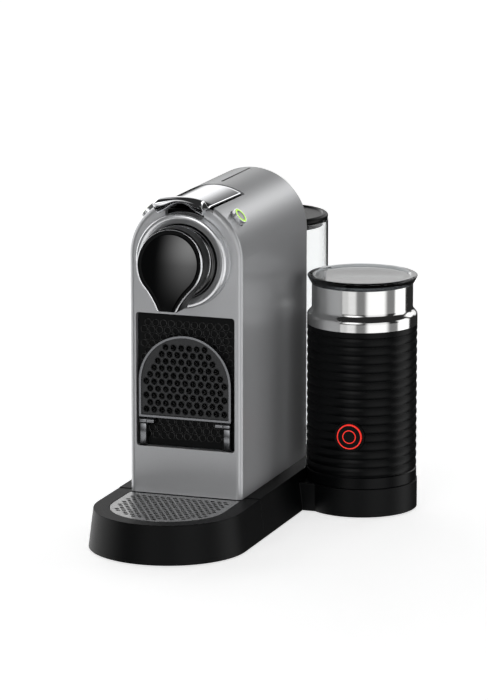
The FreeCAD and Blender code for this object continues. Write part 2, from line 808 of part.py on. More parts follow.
def make_drawer():
    """Used-capsule drawer, its honeycomb front, and the cup support folded up against it."""
    plate_back = s.drawer_recess + s.drawer_plate
    low, high = window_low + s.slide_gap * 2, window_high - s.slide_gap
    half = window_half - s.slide_gap
    side = window_half - s.drawer_inset
    rear = chassis_y - s.drawer_setback
    rim = window_high - s.drawer_drop
    wall = s.drawer_wall
    mass = block("drawer_mass", (-side, side), (plate_back, rear), (low, rim))
    room = block("drawer_room", (-side + wall, side - wall), (plate_back + wall, rear - wall),
                 (low + wall, rim + 1))
    node(cut("capsule_drawer", mass, room), "capsule_drawer")

    sheet_part = pad("front_sheet", "XZ_Plane", s.drawer_recess, s.drawer_plate,
                     *rounded((-half, half), (low, high), s.window_corner - s.slide_gap))
    middle = (low + high) / 2
    edge_x = half.value - s.comb_margin.value
    edge_z = (high - low).value / 2 - s.comb_margin.value
    cells = honeycomb(lambda u, v: abs(u) < edge_x and abs(v) < edge_z, s.comb_hole.value,
                      s.comb_pitch.value, Vector(0, -1, 0))
    pits = Part.makeCompound([Part.Face(cell).extrude(Vector(0, s.comb_deep.value + 1, 0)) for cell in cells])
    pits = solid_feature("front_pits", pits)
    bind(pits, "Placement.Base.y", s.drawer_recess - 1)
    bind(pits, "Placement.Base.z", middle)
    posts = []
    for side in (-1, 1):
        ends = span(side, hinge_split, hinge_split + s.hinge_post)
        posts.append(block(f"post_{side + 1}", ends, (s.hinge_y - s.hinge_radius * 0.7, s.drawer_recess),
                           (low, hinge_z)))
        posts.append(rod(f"post_eye_{side + 1}", "x", (s.hinge_y, hinge_z), s.hinge_radius, *ends))
        posts.append(rod(f"post_pin_{side + 1}", "x", (s.hinge_y, hinge_z), s.hinge_pin,
                         *span(side, hinge_inner, hinge_split)))
    node(fuse("drawer_front", cut("front_comb", sheet_part, pits), *posts), "drawer_front")
    make_cup_support()


def make_cup_support():
    """Half-round perforated plate in a rim, on two hinge eyes."""
    foot = hinge_z + s.hinge_radius + s.slide_gap
    plate_y = s.hinge_y - s.cup_thick / 2 + s.slide_gap
    inner = cup_radius - s.cup_rim_width
    rim_y = plate_y + s.cup_thick / 2 - s.cup_rim_depth / 2
    ring = pad("cup_rim_mass", "XZ_Plane", rim_y, s.cup_rim_depth, *half_round(cup_radius, cup_z, foot, 1))
    gap = pad("cup_rim_gap", "XZ_Plane", rim_y - 1, s.cup_rim_depth + 2,
              *half_round(inner, cup_z, foot + s.cup_rim_width, 1))
    rim = cut("cup_ring", ring, gap)
    margin = s.cup_margin.value + s.comb_hole.value / 2
    reach = inner.value - margin
    drop = (cup_z - foot - s.cup_rim_width).value - margin
    cells = honeycomb(lambda u, v: (math.hypot(u, v) if v > 0 else abs(u)) < reach and v > -drop,
                      s.comb_hole.value, s.comb_pitch.value, Vector(0, -1, 0))
    sheet_part = pad("cup_sheet", "XZ_Plane", plate_y, s.cup_thick,
                     *half_round(inner, cup_z, foot + s.cup_rim_width, 1))
    holes = Part.makeCompound([Part.Face(cell).extrude(Vector(0, s.cup_thick.value + 2, 0)) for cell in cells])
    holes = solid_feature("cup_holes", holes)
    bind(holes, "Placement.Base.y", plate_y - 1)
    bind(holes, "Placement.Base.z", cup_z)
    node(cut("cup_support", sheet_part, holes), "cup_support")
    eyes = []
    for side in (-1, 1):
        inner_end = hinge_split - s.fit_gap
        ends = span(side, hinge_inner, inner_end)
        eye = rod(f"cup_eye_{side + 1}", "x", (s.hinge_y, hinge_z), s.hinge_radius, *ends)
        web = block(f"cup_web_{side + 1}", ends, (plate_y, plate_y + s.cup_thick), (hinge_z, foot))
        bore = rod(f"cup_bore_{side + 1}", "x", (s.hinge_y, hinge_z), s.hinge_pin + s.pin_gap, *ends)
        eyes.append(cut(f"cup_knuckle_{side + 1}", fuse(f"cup_lug_{side + 1}", eye, web), bore))
    node(fuse("cup_rim", rim, *eyes), "cup_rim")


def make_brew_head():
    """Silver ring and black disc that stand proud of the fascia."""
    base = ring_radius + s.ring_flare
    spigot = ring_bore + s.ring_spigot
    lip = s.ring_proud - s.ring_round
    crest = ring_radius - s.ring_round
    ring = revolve("brew_ring", "YZ_Plane", "H_Axis",
                   (0, base), (0, spigot), (s.fascia_depth, spigot), (s.fascia_depth, ring_bore),
                   (-s.ring_proud + s.ring_band, ring_bore), (-s.ring_proud, crest - s.ring_flare),
                   (-s.ring_proud, crest), (-lip, ring_radius, -lip, crest, -1))
    node(ring, "brew_ring", z=brew_z)
    edge = ring_bore - s.slide_gap
    disc = revolve("head_disc", "YZ_Plane", "H_Axis",
                   (s.fascia_depth, 0), (-s.disc_front, 0), (-s.disc_front, edge - s.disc_edge * 1.5),
                   (-s.disc_front + s.disc_edge / 2, edge - s.disc_edge / 2),
                   (-s.disc_front + s.disc_edge, edge), (s.fascia_depth, edge))
    node(disc, "head_disc", z=brew_z)


def teardrop(inset):
    """Steps of the spout's outline: a circle that passes into two hollow flanks down to a narrow tip."""
    radius = s.spout_radius - inset
    tip = s.spout_tip_half - inset * 0.9
    tip_z = spout_tip_z + inset
    out_x, out_z = cosine(s.spout_turn), -sine(s.spout_turn)
    touch_x, touch_z = radius * out_x, spout_z + radius * out_z
    run, fall = tip - touch_x, tip_z - touch_z
    hollow = (run * run + fall * fall) / (2 * (run * out_x + fall * out_z))
    flank_x, flank_z = touch_x + hollow * out_x, touch_z + hollow * out_z
    return ((-tip, tip_z, -flank_x, flank_z, -1), (tip, tip_z), (touch_x, touch_z, flank_x, flank_z, -1),
            (-touch_x, touch_z, 0, spout_z, 1))


def ahead_of_face(name, setback, deep):
    """A block whose rear face is the spout's leaning front plane, moved back and made deep to the front."""
    size = s.spout_radius * 8
    item = doc.addObject("Part::Box", name)
    bind(item, "Length", size)
    bind(item, "Width", deep)
    bind(item, "Height", size)
    item.Placement = Placement(Vector(), Rotation(Vector(1, 0, 0), -s.spout_lean.value))
    item.setExpression("Placement.Rotation.Angle", (-1 * s.spout_lean).formula)
    lean_cos, lean_sin = cosine(s.spout_lean), sine(s.spout_lean)
    back = setback - deep
    bind(item, "Placement.Base.x", -size / 2)
    bind(item, "Placement.Base.y", -s.spout_front + back * lean_cos - size / 2 * lean_sin)
    bind(item, "Placement.Base.z", brew_z - back * lean_sin - size / 2 * lean_cos)
    return item


def make_spout():
    """Teardrop spout: housing, bright trim, domed gloss face and the outlet nozzle in its tip."""
    reach = s.spout_front * 2 - s.disc_front
    back = -s.disc_front
    whole = pad("spout_mass", "XZ_Plane", back - reach, reach, *teardrop(as_size(0)))
    nozzle_y = back - s.nozzle_radius * 2.2
    hole = rod("nozzle_hole", "z", (0, nozzle_y), s.nozzle_radius + s.fit_gap, spout_tip_z - 1,
               spout_tip_z + s.nozzle_length)
    node(cut("spout_housing", whole, ahead_of_face("housing_front", s.trim_depth, reach), hole), "spout_housing")
    outer = pad("trim_mass", "XZ_Plane", back - reach, reach, *teardrop(as_size(0)))
    inner = pad("trim_gap", "XZ_Plane", back - reach - 1, reach + 2, *teardrop(s.spout_trim))
    node(common("spout_trim", cut("trim_ring", outer, inner),
                ahead_of_face("trim_slab", s.trim_depth, s.trim_depth)), "spout_trim")
    face = pad("face_mass", "XZ_Plane", back - reach, reach, *teardrop(s.spout_trim))
    dome = doc.addObject("Part::Sphere", "face_sphere")
    bind(dome, "Radius", s.face_dome)
    lift = s.face_dome - s.trim_depth
    bind(dome, "Placement.Base.y", -s.spout_front + lift * cosine(s.spout_lean))
    bind(dome, "Placement.Base.z", spout_z - s.spout_radius / 2 - lift * sine(s.spout_lean))
    node(common("spout_face", face, dome, ahead_of_face("face_slab", s.trim_depth, reach)), "spout_face")
    node(tube("outlet_nozzle", "z", (0, nozzle_y), s.nozzle_radius, s.nozzle_bore, spout_tip_z,
              spout_tip_z + s.nozzle_length), "outlet_nozzle")


def make_lever():
    """Curved lever plate with its rolled finger lip, on a short hinge near the rear edge."""
    outer = arch_radius
    inner = outer - s.lever_thick
    nose_y = -s.lever_lip_y + s.lip_nose
    nose_r = outer + s.lip_rise - s.lip_nose
    dip_y = nose_y + s.lip_nose * 2.4
    sheet_part = revolve("lever_sheet", "YZ_Plane", "H_Axis",
                         (s.lever_rear, inner), (s.lever_rear, outer - s.lever_thick * 0.6),
                         (s.lever_rear - s.lever_thick * 0.6, outer),
                         (dip_y + s.lip_nose * 1.6, outer), (dip_y, outer - s.lip_dip),
                         (nose_y + s.lip_nose * 0.7, nose_r + s.lip_nose * 0.714),
                         (nose_y, nose_r - s.lip_nose, nose_y, nose_r, 1),
                         (dip_y + s.lip_nose * 1.6, inner), angle=s.lever_sweep)
    bind(sheet_part, "Placement.Base.z", arch_z)
    front, rear, end = lever_plan(as_size(0), s.lever_rear + 1)
    plan_y = -s.lever_lip_y + s.lip_plan_radius
    corner_y = plan_y - root(s.lip_plan_radius * s.lip_plan_radius - front * front)
    plan = pad("lever_plan", "XY_Plane", arch_z + arch_radius / 4, arch_radius,
               (-front, corner_y), (front, corner_y, 0, plan_y, 1), (rear, end), (-rear, end))
    knuckle = rod("lever_knuckle", "x", (pivot_y, pivot_z), s.knuckle_radius, -s.knuckle_half, s.knuckle_half)
    web = block("lever_web", (-s.knuckle_half, s.knuckle_half),
                (pivot_y - s.knuckle_radius * 2, pivot_y), (pivot_z, arch_z + inner))
    bore = rod("lever_bore", "x", (pivot_y, pivot_z), s.pivot_pin + s.pin_gap, -s.lug_outer, s.lug_outer)
    crown = rod("lip_crown", "y", (0, s.body_top + s.lip_rise - s.lip_crown), s.lip_crown, -s.lever_lip_y - 1,
                s.lever_rear + 1)
    shaped = common("lever_shaped", sheet_part, plan, crown)
    node(cut("lever_plate", fuse("lever_mass", shaped, knuckle, web), bore), "lever_plate")

    liner_out = inner
    liner_in = inner - s.liner_thick
    liner = revolve("lever_liner", "YZ_Plane", "H_Axis",
                    (s.fascia_depth + 2, liner_in), (s.lever_rear * 0.8, liner_in),
                    (s.lever_rear * 0.8, liner_out), (s.fascia_depth + 2, liner_out), angle=s.liner_sweep)
    node(liner, "lever_liner", z=arch_z)

    foot = block("bracket_foot", (-s.chamber_half, s.chamber_half),
                 (pivot_y - s.bracket_foot, pivot_y + s.bracket_foot), (chamber_top, chamber_top + s.bracket_foot))
    lugs = []
    for side in (-1, 1):
        inner_end = s.knuckle_half + s.slide_gap
        ends = span(side, inner_end, s.lug_outer)
        lugs.append(block(f"bracket_lug_{side + 1}", ends,
                          (pivot_y - s.knuckle_radius * 0.7, pivot_y + s.knuckle_radius * 0.7),
                          (chamber_top, pivot_z)))
        lugs.append(rod(f"bracket_eye_{side + 1}", "x", (pivot_y, pivot_z), s.knuckle_radius, *ends))
    hole = rod("bracket_bore", "x", (pivot_y, pivot_z), s.pivot_pin, -s.lug_outer - 1, s.lug_outer + 1)
    node(cut("lever_bracket", fuse("bracket_mass", foot, *lugs), hole), "lever_bracket")
    node(rod("lever_pin", "x", (pivot_y, pivot_z), s.pivot_pin, -s.lug_outer, s.lug_outer), "lever_pin")


def make_brew_unit():
    """Capsule slot, brew chamber, sliding capsule cage with its blades, and the extraction plate."""
    outer_half = s.slot_half + s.slot_wall
    well = block("well_mass", (-outer_half, outer_half), (s.fascia_depth + s.fit_gap, s.slot_rear + s.slot_wall),
                 (chamber_top, slot_top))
    gap = block("well_gap", (-s.slot_half, s.slot_half), (s.slot_front, s.slot_rear),
                (chamber_top - 1, slot_top + 1))
    node(cut("slot_well", well, gap), "slot_well")

    inner_half = s.chamber_half - s.chamber_wall
    inner_front = s.chamber_front + s.chamber_wall * 2
    inner_rear = chamber_rear - s.chamber_wall * 2
    mass = block("chamber_mass", (-s.chamber_half, s.chamber_half), (s.chamber_front, chamber_rear),
                 (chamber_low, chamber_top))
    room = block("chamber_room", (-inner_half, inner_half), (inner_front, inner_rear),
                 (chamber_low - 1, chamber_top + 1))
    node(cut("brew_chamber", mass, room), "brew_chamber")

    cage_rear = s.cage_front + s.cage_length
    barrel = rod("cage_barrel", "y", (0, brew_z), s.cage_radius, s.cage_front, cage_rear)
    shoe_half = inner_half - s.slide_gap
    shoe_tall = s.cage_radius / 3
    shoes = block("cage_shoes", (-shoe_half, shoe_half), (s.cage_front, cage_rear),
                  (brew_z - shoe_tall, brew_z + shoe_tall))
    cup = rod("cage_cup", "y", (0, brew_z), s.cage_bore, s.cage_front - 1, cage_rear - s.cage_floor)
    node(cut("capsule_cage", fuse("cage_mass", barrel, shoes), cup), "capsule_cage")
    blades = []
    for index in range(3):
        turn = math.radians(90 + 120 * index)
        blade = doc.addObject("Part::Cone", f"blade_{index}")
        bind(blade, "Radius1", s.blade_radius)
        bind(blade, "Radius2", s.blade_radius / 8)
        bind(blade, "Height", s.blade_length)
        blade.Placement = Placement(Vector(), Rotation(Vector(1, 0, 0), 90))
        bind(blade, "Placement.Base.x", s.blade_ring * math.cos(turn))
        bind(blade, "Placement.Base.y", cage_rear - s.cage_floor)
        bind(blade, "Placement.Base.z", brew_z + s.blade_ring * math.sin(turn))
        blades.append(blade)
    node(fuse("piercing_blades", *blades), "piercing_blades")
    node(rod("extraction_plate", "y", (0, brew_z), s.plate_radius, inner_front, inner_front + s.plate_thick),
         "extraction_plate")


def make_buttons():
    """Two cup-size buttons with light rings, and the switches behind them."""
    face = arch_radius + s.button_proud
    stem = face - s.button_proud - s.button_stem
    for side, word in ((-1, "espresso"), (1, "lungo")):
        node(radial_rod(f"{word}_button", s.button_radius, stem, face, side), f"{word}_button")
        outer = radial_rod(f"{word}_light_outer", s.button_light, face, face + s.light_proud, side)
        inner = radial_rod(f"{word}_light_inner", s.button_light - s.button_light_width,
                           face - 1, face + s.light_proud + 1, side)
        node(cut(f"{word}_light", outer, inner), f"{word}_light")
    switch_top = stem - s.button_travel - s.fit_gap
    switches = [radial_rod(f"switch_{side + 1}", s.switch_radius, switch_top - s.switch_length, switch_top, side)
                for side in (-1, 1)]
    node(fuse("button_switches", *switches), "button_switches")


def make_tank():
    """Clear water tank, its lid and valve, and the coupling in the base below it."""
    low = s.base_top + s.slide_gap
    wall_in = s.tank_radius - s.tank_wall
    port = s.valve_radius + s.pin_gap
    node(turned("water_tank", (port, low), (s.tank_radius, low), (s.tank_radius, s.tank_top),
                (wall_in, s.tank_top), (wall_in, low + s.tank_floor), (port, low + s.tank_floor)),
         "water_tank", y=tank_y)
    lid_low = s.tank_top + s.slide_gap
    skirt_out = wall_in - s.lid_skirt_gap
    skirt_in = skirt_out - s.lid_skirt_wall
    dish = s.tank_radius - s.lid_rim
    node(turned("tank_lid", (0, lid_low), (skirt_in, lid_low), (skirt_in, lid_low - s.lid_skirt),
                (skirt_out, lid_low - s.lid_skirt), (skirt_out, lid_low), (s.tank_radius, lid_low),
                (s.tank_radius, lid_top - 1), (s.tank_radius - 1, lid_top, s.tank_radius - 1, lid_top - 1, 1),
                (dish, lid_top), (dish - s.lid_dish / 2, lid_top - s.lid_dish), (0, lid_top - s.lid_dish)),
         "tank_lid", y=tank_y)
    flange_low = low + s.tank_floor + s.pin_gap
    node(turned("tank_valve", (0, low), (s.valve_radius, low), (s.valve_radius, flange_low),
                (s.valve_flange, flange_low), (s.valve_flange, flange_low + s.tank_floor),
                (s.valve_radius / 2, flange_low + s.tank_floor),
                (s.valve_radius / 2, low + s.valve_height), (0, low + s.valve_height)), "tank_valve", y=tank_y)
    groove = s.coupling_radius - 3 * s.seal_wire
    deep = s.base_top - 2 * s.seal_wire
    foot = s.base_top - s.coupling_height
    spout_bore = s.hose_radius
    node(turned("tank_coupling", (spout_bore, foot), (s.coupling_radius + 3, foot),
                (s.coupling_radius + 3, deck_low), (s.coupling_radius, deck_low), (s.coupling_radius, s.base_top),
                (groove + s.seal_wire, s.base_top), (groove + s.seal_wire, deep), (groove - s.seal_wire, deep),
                (groove - s.seal_wire, s.base_top), (spout_bore, s.base_top)), "tank_coupling", y=tank_y)
    seal = doc.addObject("Part::Torus", "coupling_seal")
    bind(seal, "Radius1", groove)
    bind(seal, "Radius2", s.seal_wire)
    node(seal, "coupling_seal", y=tank_y, z=s.base_top - s.seal_wire)


def rib_steps():
    """Steps up the ribbed wall of the grip, from the lowest groove: one arc per rib."""
    groove = s.frother_radius - s.rib_deep
    half = s.rib_pitch / 2
    bulge = (half * half + s.rib_deep * s.rib_deep) / (2 * s.rib_deep)
    count = int((rib_first - s.platform_top - s.rib_pitch).value // s.rib_pitch.value)
    lowest = rib_first - count * s.rib_pitch
    steps = [(groove, lowest)]
    for index in range(count):
        top = lowest + (index + 1) * s.rib_pitch
        steps.append((groove, top, s.frother_radius - bulge, top - half, 1))
    return steps


def make_frother():
    """Milk frother that lifts off its dock: ribbed grip, steel collar, jug, heater, motor and foot."""
    at = {"x": platform_x, "y": platform_y, "turn": s.frother_turn}
    low = s.platform_top + s.slide_gap
    grip_in = s.frother_radius - s.grip_wall
    grip = turned("grip_mass", (grip_in, low), (s.frother_radius, low),
                  (s.frother_radius, rib_steps()[0][1] - s.rib_deep), *rib_steps(),
                  (s.frother_radius, rib_first + s.rib_deep), (s.frother_radius, grip_top),
                  (grip_in, grip_top))
    press = rod("grip_hole", "y", (0, press_z), s.press_bezel + s.fit_gap, -s.frother_radius * 1.2,
                -s.frother_radius / 2)
    node(cut("frother_grip", grip, press), "frother_grip", **at)

    wall = s.collar_wall
    swell = s.frother_radius - neck_radius
    neck_low, shoulder_low = s.collar_top - s.neck_drop, s.collar_top - s.shoulder_drop
    mid_z = (shoulder_low + neck_low) / 2
    mid_r = neck_radius + swell / 2
    node(turned("frother_collar", (s.frother_radius - wall, grip_top), (s.frother_radius, grip_top),
                (s.frother_radius, shoulder_low), (mid_r + swell / 4, mid_z - swell / 4),
                (neck_radius, neck_low), (neck_radius, s.collar_top),
                (neck_radius - wall, s.collar_top), (neck_radius - wall, neck_low - wall),
                (mid_r + swell / 4 - wall, mid_z - swell / 4 - wall),
                (s.frother_radius - wall, shoulder_low - wall)), "frother_collar", **at)

    jug_in = jug_radius - s.jug_wall
    jug_low = jug_floor - s.jug_wall
    round_in = jug_in / 5
    node(turned("frother_jug", (0, jug_low), (jug_radius - round_in, jug_low),
                (jug_radius, jug_low + round_in, jug_radius - round_in, jug_low + round_in, 1),
                (jug_radius, s.collar_top), (neck_radius, s.collar_top),
                (neck_radius, s.collar_top + s.jug_wall / 2), (jug_in, s.collar_top + s.jug_wall / 2),
                (jug_in, jug_floor + round_in),
                (jug_in - round_in, jug_floor, jug_in - round_in, jug_floor + round_in, -1),
                (s.jug_pin, jug_floor), (s.jug_pin, jug_floor + s.jug_pin_height),
                (0, jug_floor + s.jug_pin_height)), "frother_jug", **at)

    cap_out = grip_in - s.fit_gap
    cap_top = low + s.foot_cap
    socket = s.dock_radius + s.slide_gap
    socket_top = s.platform_top + s.dock_height + s.slide_gap
    node(turned("frother_foot", (socket, low), (cap_out, low), (cap_out, cap_top), (0, cap_top), (0, socket_top),
                (socket, socket_top)), "frother_foot", **at)
    heater_low = jug_low - s.heater_thick
    heater_outer = jug_radius - s.heater_inset
    post = heater_outer - s.base_wall
    node(turned("frother_heater", (post, cap_top), (heater_outer, cap_top), (heater_outer, jug_low),
                (s.heater_inner, jug_low), (s.heater_inner, heater_low), (post, heater_low)),
         "frother_heater", **at)
    motor_top = cap_top + s.motor_height
    rotor_low = jug_low - s.rotor_gap - s.rotor_thick
    node(turned("frother_motor", (0, cap_top), (s.motor_radius, cap_top), (s.motor_radius, motor_top),
                (s.shaft_radius, motor_top), (s.shaft_radius, rotor_low + s.rotor_thick),
                (0, rotor_low + s.rotor_thick)), "frother_motor", **at)
    bore = s.shaft_radius + s.pin_gap
    node(turned("magnet_rotor", (bore, rotor_low), (s.rotor_radius, rotor_low),
                (s.rotor_radius, rotor_low + s.rotor_thick), (bore, rotor_low + s.rotor_thick)),
         "magnet_rotor", **at)
    make_whisk(at)
    make_frother_lid(at)
    make_frother_press(at)
    node(turned("dock_connector", (0, s.platform_top), (s.dock_radius, s.platform_top),
                (s.dock_radius, s.platform_top + s.dock_height / 2),
                (s.dock_radius / 2, s.platform_top + s.dock_height), (0, s.platform_top + s.dock_height)),
         "dock_connector", **at)


def make_whisk(at):
    """Whisk that spins on the jug's pin."""
    low = jug_floor + s.slide_gap
    pin_bore = s.jug_pin + s.pin_gap
    roof = jug_floor + s.jug_pin_height + s.slide_gap
    crown = roof + s.whisk_cap
    hub = turned("whisk_stem", (pin_bore, low), (s.whisk_hub, low), (s.whisk_hub, crown), (0, crown),
                 (0, roof), (pin_bore, roof))
    ring = doc.addObject("Part::Torus", "whisk_hoop")
    bind(ring, "Radius1", s.whisk_ring)
    bind(ring, "Radius2", s.whisk_wire)
    ring_z = low + s.whisk_wire
    bind(ring, "Placement.Base.z", ring_z)
    spoke = block("whisk_spoke", (-s.whisk_ring, s.whisk_ring), (-s.whisk_wire / 2, s.whisk_wire / 2),
                  (ring_z - s.whisk_wire / 2, ring_z + s.whisk_wire / 2))
    clear = rod("whisk_clear", "z", (0, 0), pin_bore, low - 1, roof)
    node(cut("whisk", fuse("whisk_mass", hub, ring, spoke), clear), "whisk", **at)


def make_frother_lid(at):
    """Smoky clear lid with a plug skirt, and the soft seal round the skirt."""
    low = s.collar_top + s.jug_wall / 2 + s.slide_gap
    top = s.collar_top + s.frother_lid_rise
    jug_in = jug_radius - s.jug_wall
    skirt_out = jug_in - 1.2
    skirt_in = skirt_out - s.frother_lid_thick
    dish = neck_radius - s.frother_lid_thick
    deck = top - s.frother_lid_dish
    node(turned("frother_lid", (skirt_in, low - s.frother_lid_skirt), (skirt_out, low - s.frother_lid_skirt),
                (skirt_out, low), (s.frother_radius, low), (s.frother_radius, top - 1),
                (s.frother_radius - 1, top, s.frother_radius - 1, top - 1, 1), (dish, top),
                (dish - 1, deck), (0, deck), (0, deck - s.frother_lid_thick),
                (skirt_in, deck - s.frother_lid_thick)), "frother_lid", **at)
    seal_low = low - s.frother_lid_skirt * 0.7
    node(turned("lid_seal", (skirt_out, seal_low), (jug_in - s.slide_gap, seal_low + 1),
                (jug_in - s.slide_gap, seal_low + 2), (skirt_out, seal_low + 3)), "lid_seal", **at)


def make_frother_press(at):
    """Round start button in its bezel, with a red light ring, facing the front."""
    bezel_front = -s.frother_radius - s.fit_gap
    back = bezel_front + s.bezel_depth
    bore = s.press_ring + s.fit_gap
    node(tube("press_bezel", "y", (0, press_z), s.press_bezel, bore, bezel_front, back), "press_bezel", **at)
    front = bezel_front - s.press_proud
    disc = rod("press_disc", "y", (0, press_z), s.press_radius, front, front + s.press_depth)
    flange = rod("press_flange", "y", (0, press_z), bore - s.slide_gap, front + s.press_depth / 2,
                 front + s.press_depth)
    node(fuse("frother_button", disc, flange), "frother_button", **at)
    ring_back = front + s.press_depth / 2
    node(tube("frother_light", "y", (0, press_z), s.press_ring - s.fit_gap, s.press_radius,
              front + s.press_proud / 2, ring_back), "frother_light", **at)


def hose(name, *points):
    """A round hose through hand-placed corners, each rounded with the hose's own bend."""
    corners = [Vector(*(as_size(value).value for value in point)) for point in points]
    bend = s.hose_bend.value
    pieces = []
    last = corners[0]
    for before, here, after in zip(corners, corners[1:], corners[2:]):
        into, out = (here - before).normalize(), (after - here).normalize()
        first, second = here - into * bend, here + out * bend
        middle = here + (out - into) * (bend * (1 - math.sqrt(0.5)))
        pieces += [Part.makeLine(last, first), Part.Arc(first, middle, second).toShape()]
        last = second
    pieces.append(Part.makeLine(last, corners[-1]))
    path = Part.Wire(pieces)
    start = (corners[1] - corners[0]).normalize()
    ring = Part.Wire(Part.makeCircle(s.hose_radius.value, corners[0], start))
    return solid_feature(name, path.makePipeShell([ring], True, False))


def make_water_system():
    """Chassis, pump, flow meter, heating block, control board and the hoses between them."""
    half = sleeve_inner - s.chassis_gap
    block_front = chassis_y + s.chassis_thick
    floor_top = window_low + s.slide_gap
    upright = block("chassis_upright", (-half, half), (chassis_y, block_front), (s.base_top, chamber_low))
    shelf = block("chassis_shelf", (-half, half), (s.chamber_front, block_front),
                  (chamber_low - s.shelf_thick, chamber_low))
    floor = block("chassis_floor", (-half, half), (s.chamber_front, chassis_y),
                  (floor_top - s.floor_thick, floor_top))
    inner_half = s.chamber_half - s.chamber_wall
    drop = block("chassis_drop", (-inner_half, inner_half), (s.chamber_front + s.chamber_wall * 2, chassis_y),
                 (chamber_low - s.shelf_thick - 1, chamber_low + 1))
    node(cut("chassis", fuse("chassis_mass", upright, shelf, floor), drop), "chassis")

    pump_start, pump_end = -riser_x + s.pump_inset, riser_x - s.pump_inset - s.mount_wide
    pump_z = s.base_top + s.mount_tall + s.pump_radius
    pump_length = pump_end - pump_start
    centre = (pump_y, pump_z)
    tail_start = pump_start - s.mount_wide / 2
    nose_end = pump_end + s.mount_wide * 1.5
    barrel = rod("pump_barrel", "x", centre, s.pump_radius, pump_start, pump_end)
    nose = rod("pump_nose", "x", centre, s.pump_radius / 2.5, pump_end, nose_end)
    tail = rod("pump_tail", "x", centre, s.pump_radius / 2.5, tail_start, pump_start)
    node(fuse("pump", barrel, nose, tail), "pump")
    mounts = []
    for index, share in enumerate((0.2, 0.7)):
        start = pump_start + pump_length * share
        mounts.append(block(f"mount_{index}", (start, start + s.mount_wide),
                            (pump_y - s.pump_radius, pump_y + s.pump_radius), (s.base_top, pump_z)))
    saddle = rod("mount_saddle", "x", centre, s.pump_radius, pump_start, pump_end)
    node(cut("pump_mounts", fuse("mount_mass", *mounts), saddle), "pump_mounts")
    meter_y = pump_y + s.meter_radius * 3
    node(rod("flow_meter", "z", (-riser_x, meter_y), s.meter_radius, cover_top, cover_top + s.meter_height),
         "flow_meter")

    block_half = riser_x - s.block_inset
    block_low, block_high = s.base_top + s.block_rise, brew_z - s.block_drop
    node(block("heating_block", (-block_half, block_half), (block_front, block_front + s.block_depth),
               (block_low, block_high)), "heating_block")
    board_y = panel_front - s.spacer_length
    node(block("control_board", (-s.board_half, s.board_half), (board_y - s.board_thick, board_y),
               (board_low, board_high)), "control_board")

    under = (s.base_top - s.coupling_height + cover_top) / 2
    inlet = hose("inlet_hose", (0, tank_y, s.base_top - s.coupling_height), (0, tank_y, under),
                 (0, meter_y, under), (-riser_x + s.meter_radius, meter_y, under))
    suction = hose("suction_hose", (-riser_x, meter_y - s.meter_radius, under), (-riser_x, pump_y, under),
                   (-riser_x, pump_y, pump_z), (tail_start, pump_y, pump_z))
    block_mid = (block_low + block_high) / 2
    pressure = hose("pressure_hose", (nose_end, pump_y, pump_z), (riser_x, pump_y, pump_z),
                    (riser_x, pump_y, block_mid), (block_half, pump_y, block_mid))
    brew = hose("brew_hose", (0, pump_y, block_high), (0, pump_y, brew_z), (0, chamber_rear, brew_z))
    node(fuse("hoses", inlet, suction, pressure, brew), "hoses")
    rim = root(base_half * base_half - s.gland_x * s.gland_x)
    gland_end = base_rear + rim
    node(cut("cord_gland", rod("gland_mass", "y", (s.gland_x, s.gland_z), s.gland_radius,
                               gland_end - s.gland_length, gland_end),
             rod("gland_bore_cut", "y", (s.gland_x, s.gland_z), s.gland_bore, gland_end - s.gland_length + 3,
                 gland_end + 1)), "cord_gland")


def check_and_write():
    """Stops on any object in error, then writes one file per node."""
    doc.recompute()
    for item in doc.Objects:
        if "Invalid" in item.State or "Error" in item.State:
            raise RuntimeError(f"{item.Label} is in error")
    os.makedirs("parts", exist_ok=True)
    for item in nodes:
        if item.Shape.isNull() or not item.Shape.isValid() or not item.Shape.Solids:
            raise RuntimeError(f"{item.Label} has no valid solid")
        item.Shape.exportStep(f"parts/{item.Label}.step")


make_base()
make_base_cover()
make_casing()
make_tray()
make_drawer()
make_brew_head()
make_spout()
make_lever()
make_brew_unit()
make_buttons()
make_tank()
make_frother()
make_water_system()
check_and_write()
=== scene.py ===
import logging
import math
from dataclasses import dataclass, replace
from enum import Enum

import bmesh
import bpy
import numpy as np
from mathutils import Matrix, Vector


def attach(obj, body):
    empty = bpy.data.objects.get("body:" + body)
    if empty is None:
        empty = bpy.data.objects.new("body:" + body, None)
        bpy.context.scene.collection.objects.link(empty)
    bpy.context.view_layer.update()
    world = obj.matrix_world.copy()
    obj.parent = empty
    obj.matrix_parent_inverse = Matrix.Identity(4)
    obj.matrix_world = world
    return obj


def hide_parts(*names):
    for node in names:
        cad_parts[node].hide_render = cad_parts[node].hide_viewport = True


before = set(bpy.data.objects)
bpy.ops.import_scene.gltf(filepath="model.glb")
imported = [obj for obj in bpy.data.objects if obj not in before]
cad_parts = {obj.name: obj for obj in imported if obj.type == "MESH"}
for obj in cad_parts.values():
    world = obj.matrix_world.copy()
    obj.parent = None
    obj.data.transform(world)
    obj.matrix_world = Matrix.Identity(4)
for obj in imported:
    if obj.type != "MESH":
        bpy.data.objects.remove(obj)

LOG = logging.getLogger("pod_coffee_machine")

# The sizes below are in millimetres in the maker's frame: x = 0 is the casing's middle plane, y = 0 its
# flat front and z = 0 the worktop. ROW is where that frame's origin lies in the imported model.
ROW = np.array((-42.9, -83.5, 0.0))
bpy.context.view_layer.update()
MM = 0.001
MM_PER_METRE = 1000.0
RIGHT, FRONT, UP = (1.0, 0.0, 0.0), (0.0, -1.0, 0.0), (0.0, 0.0, 1.0)

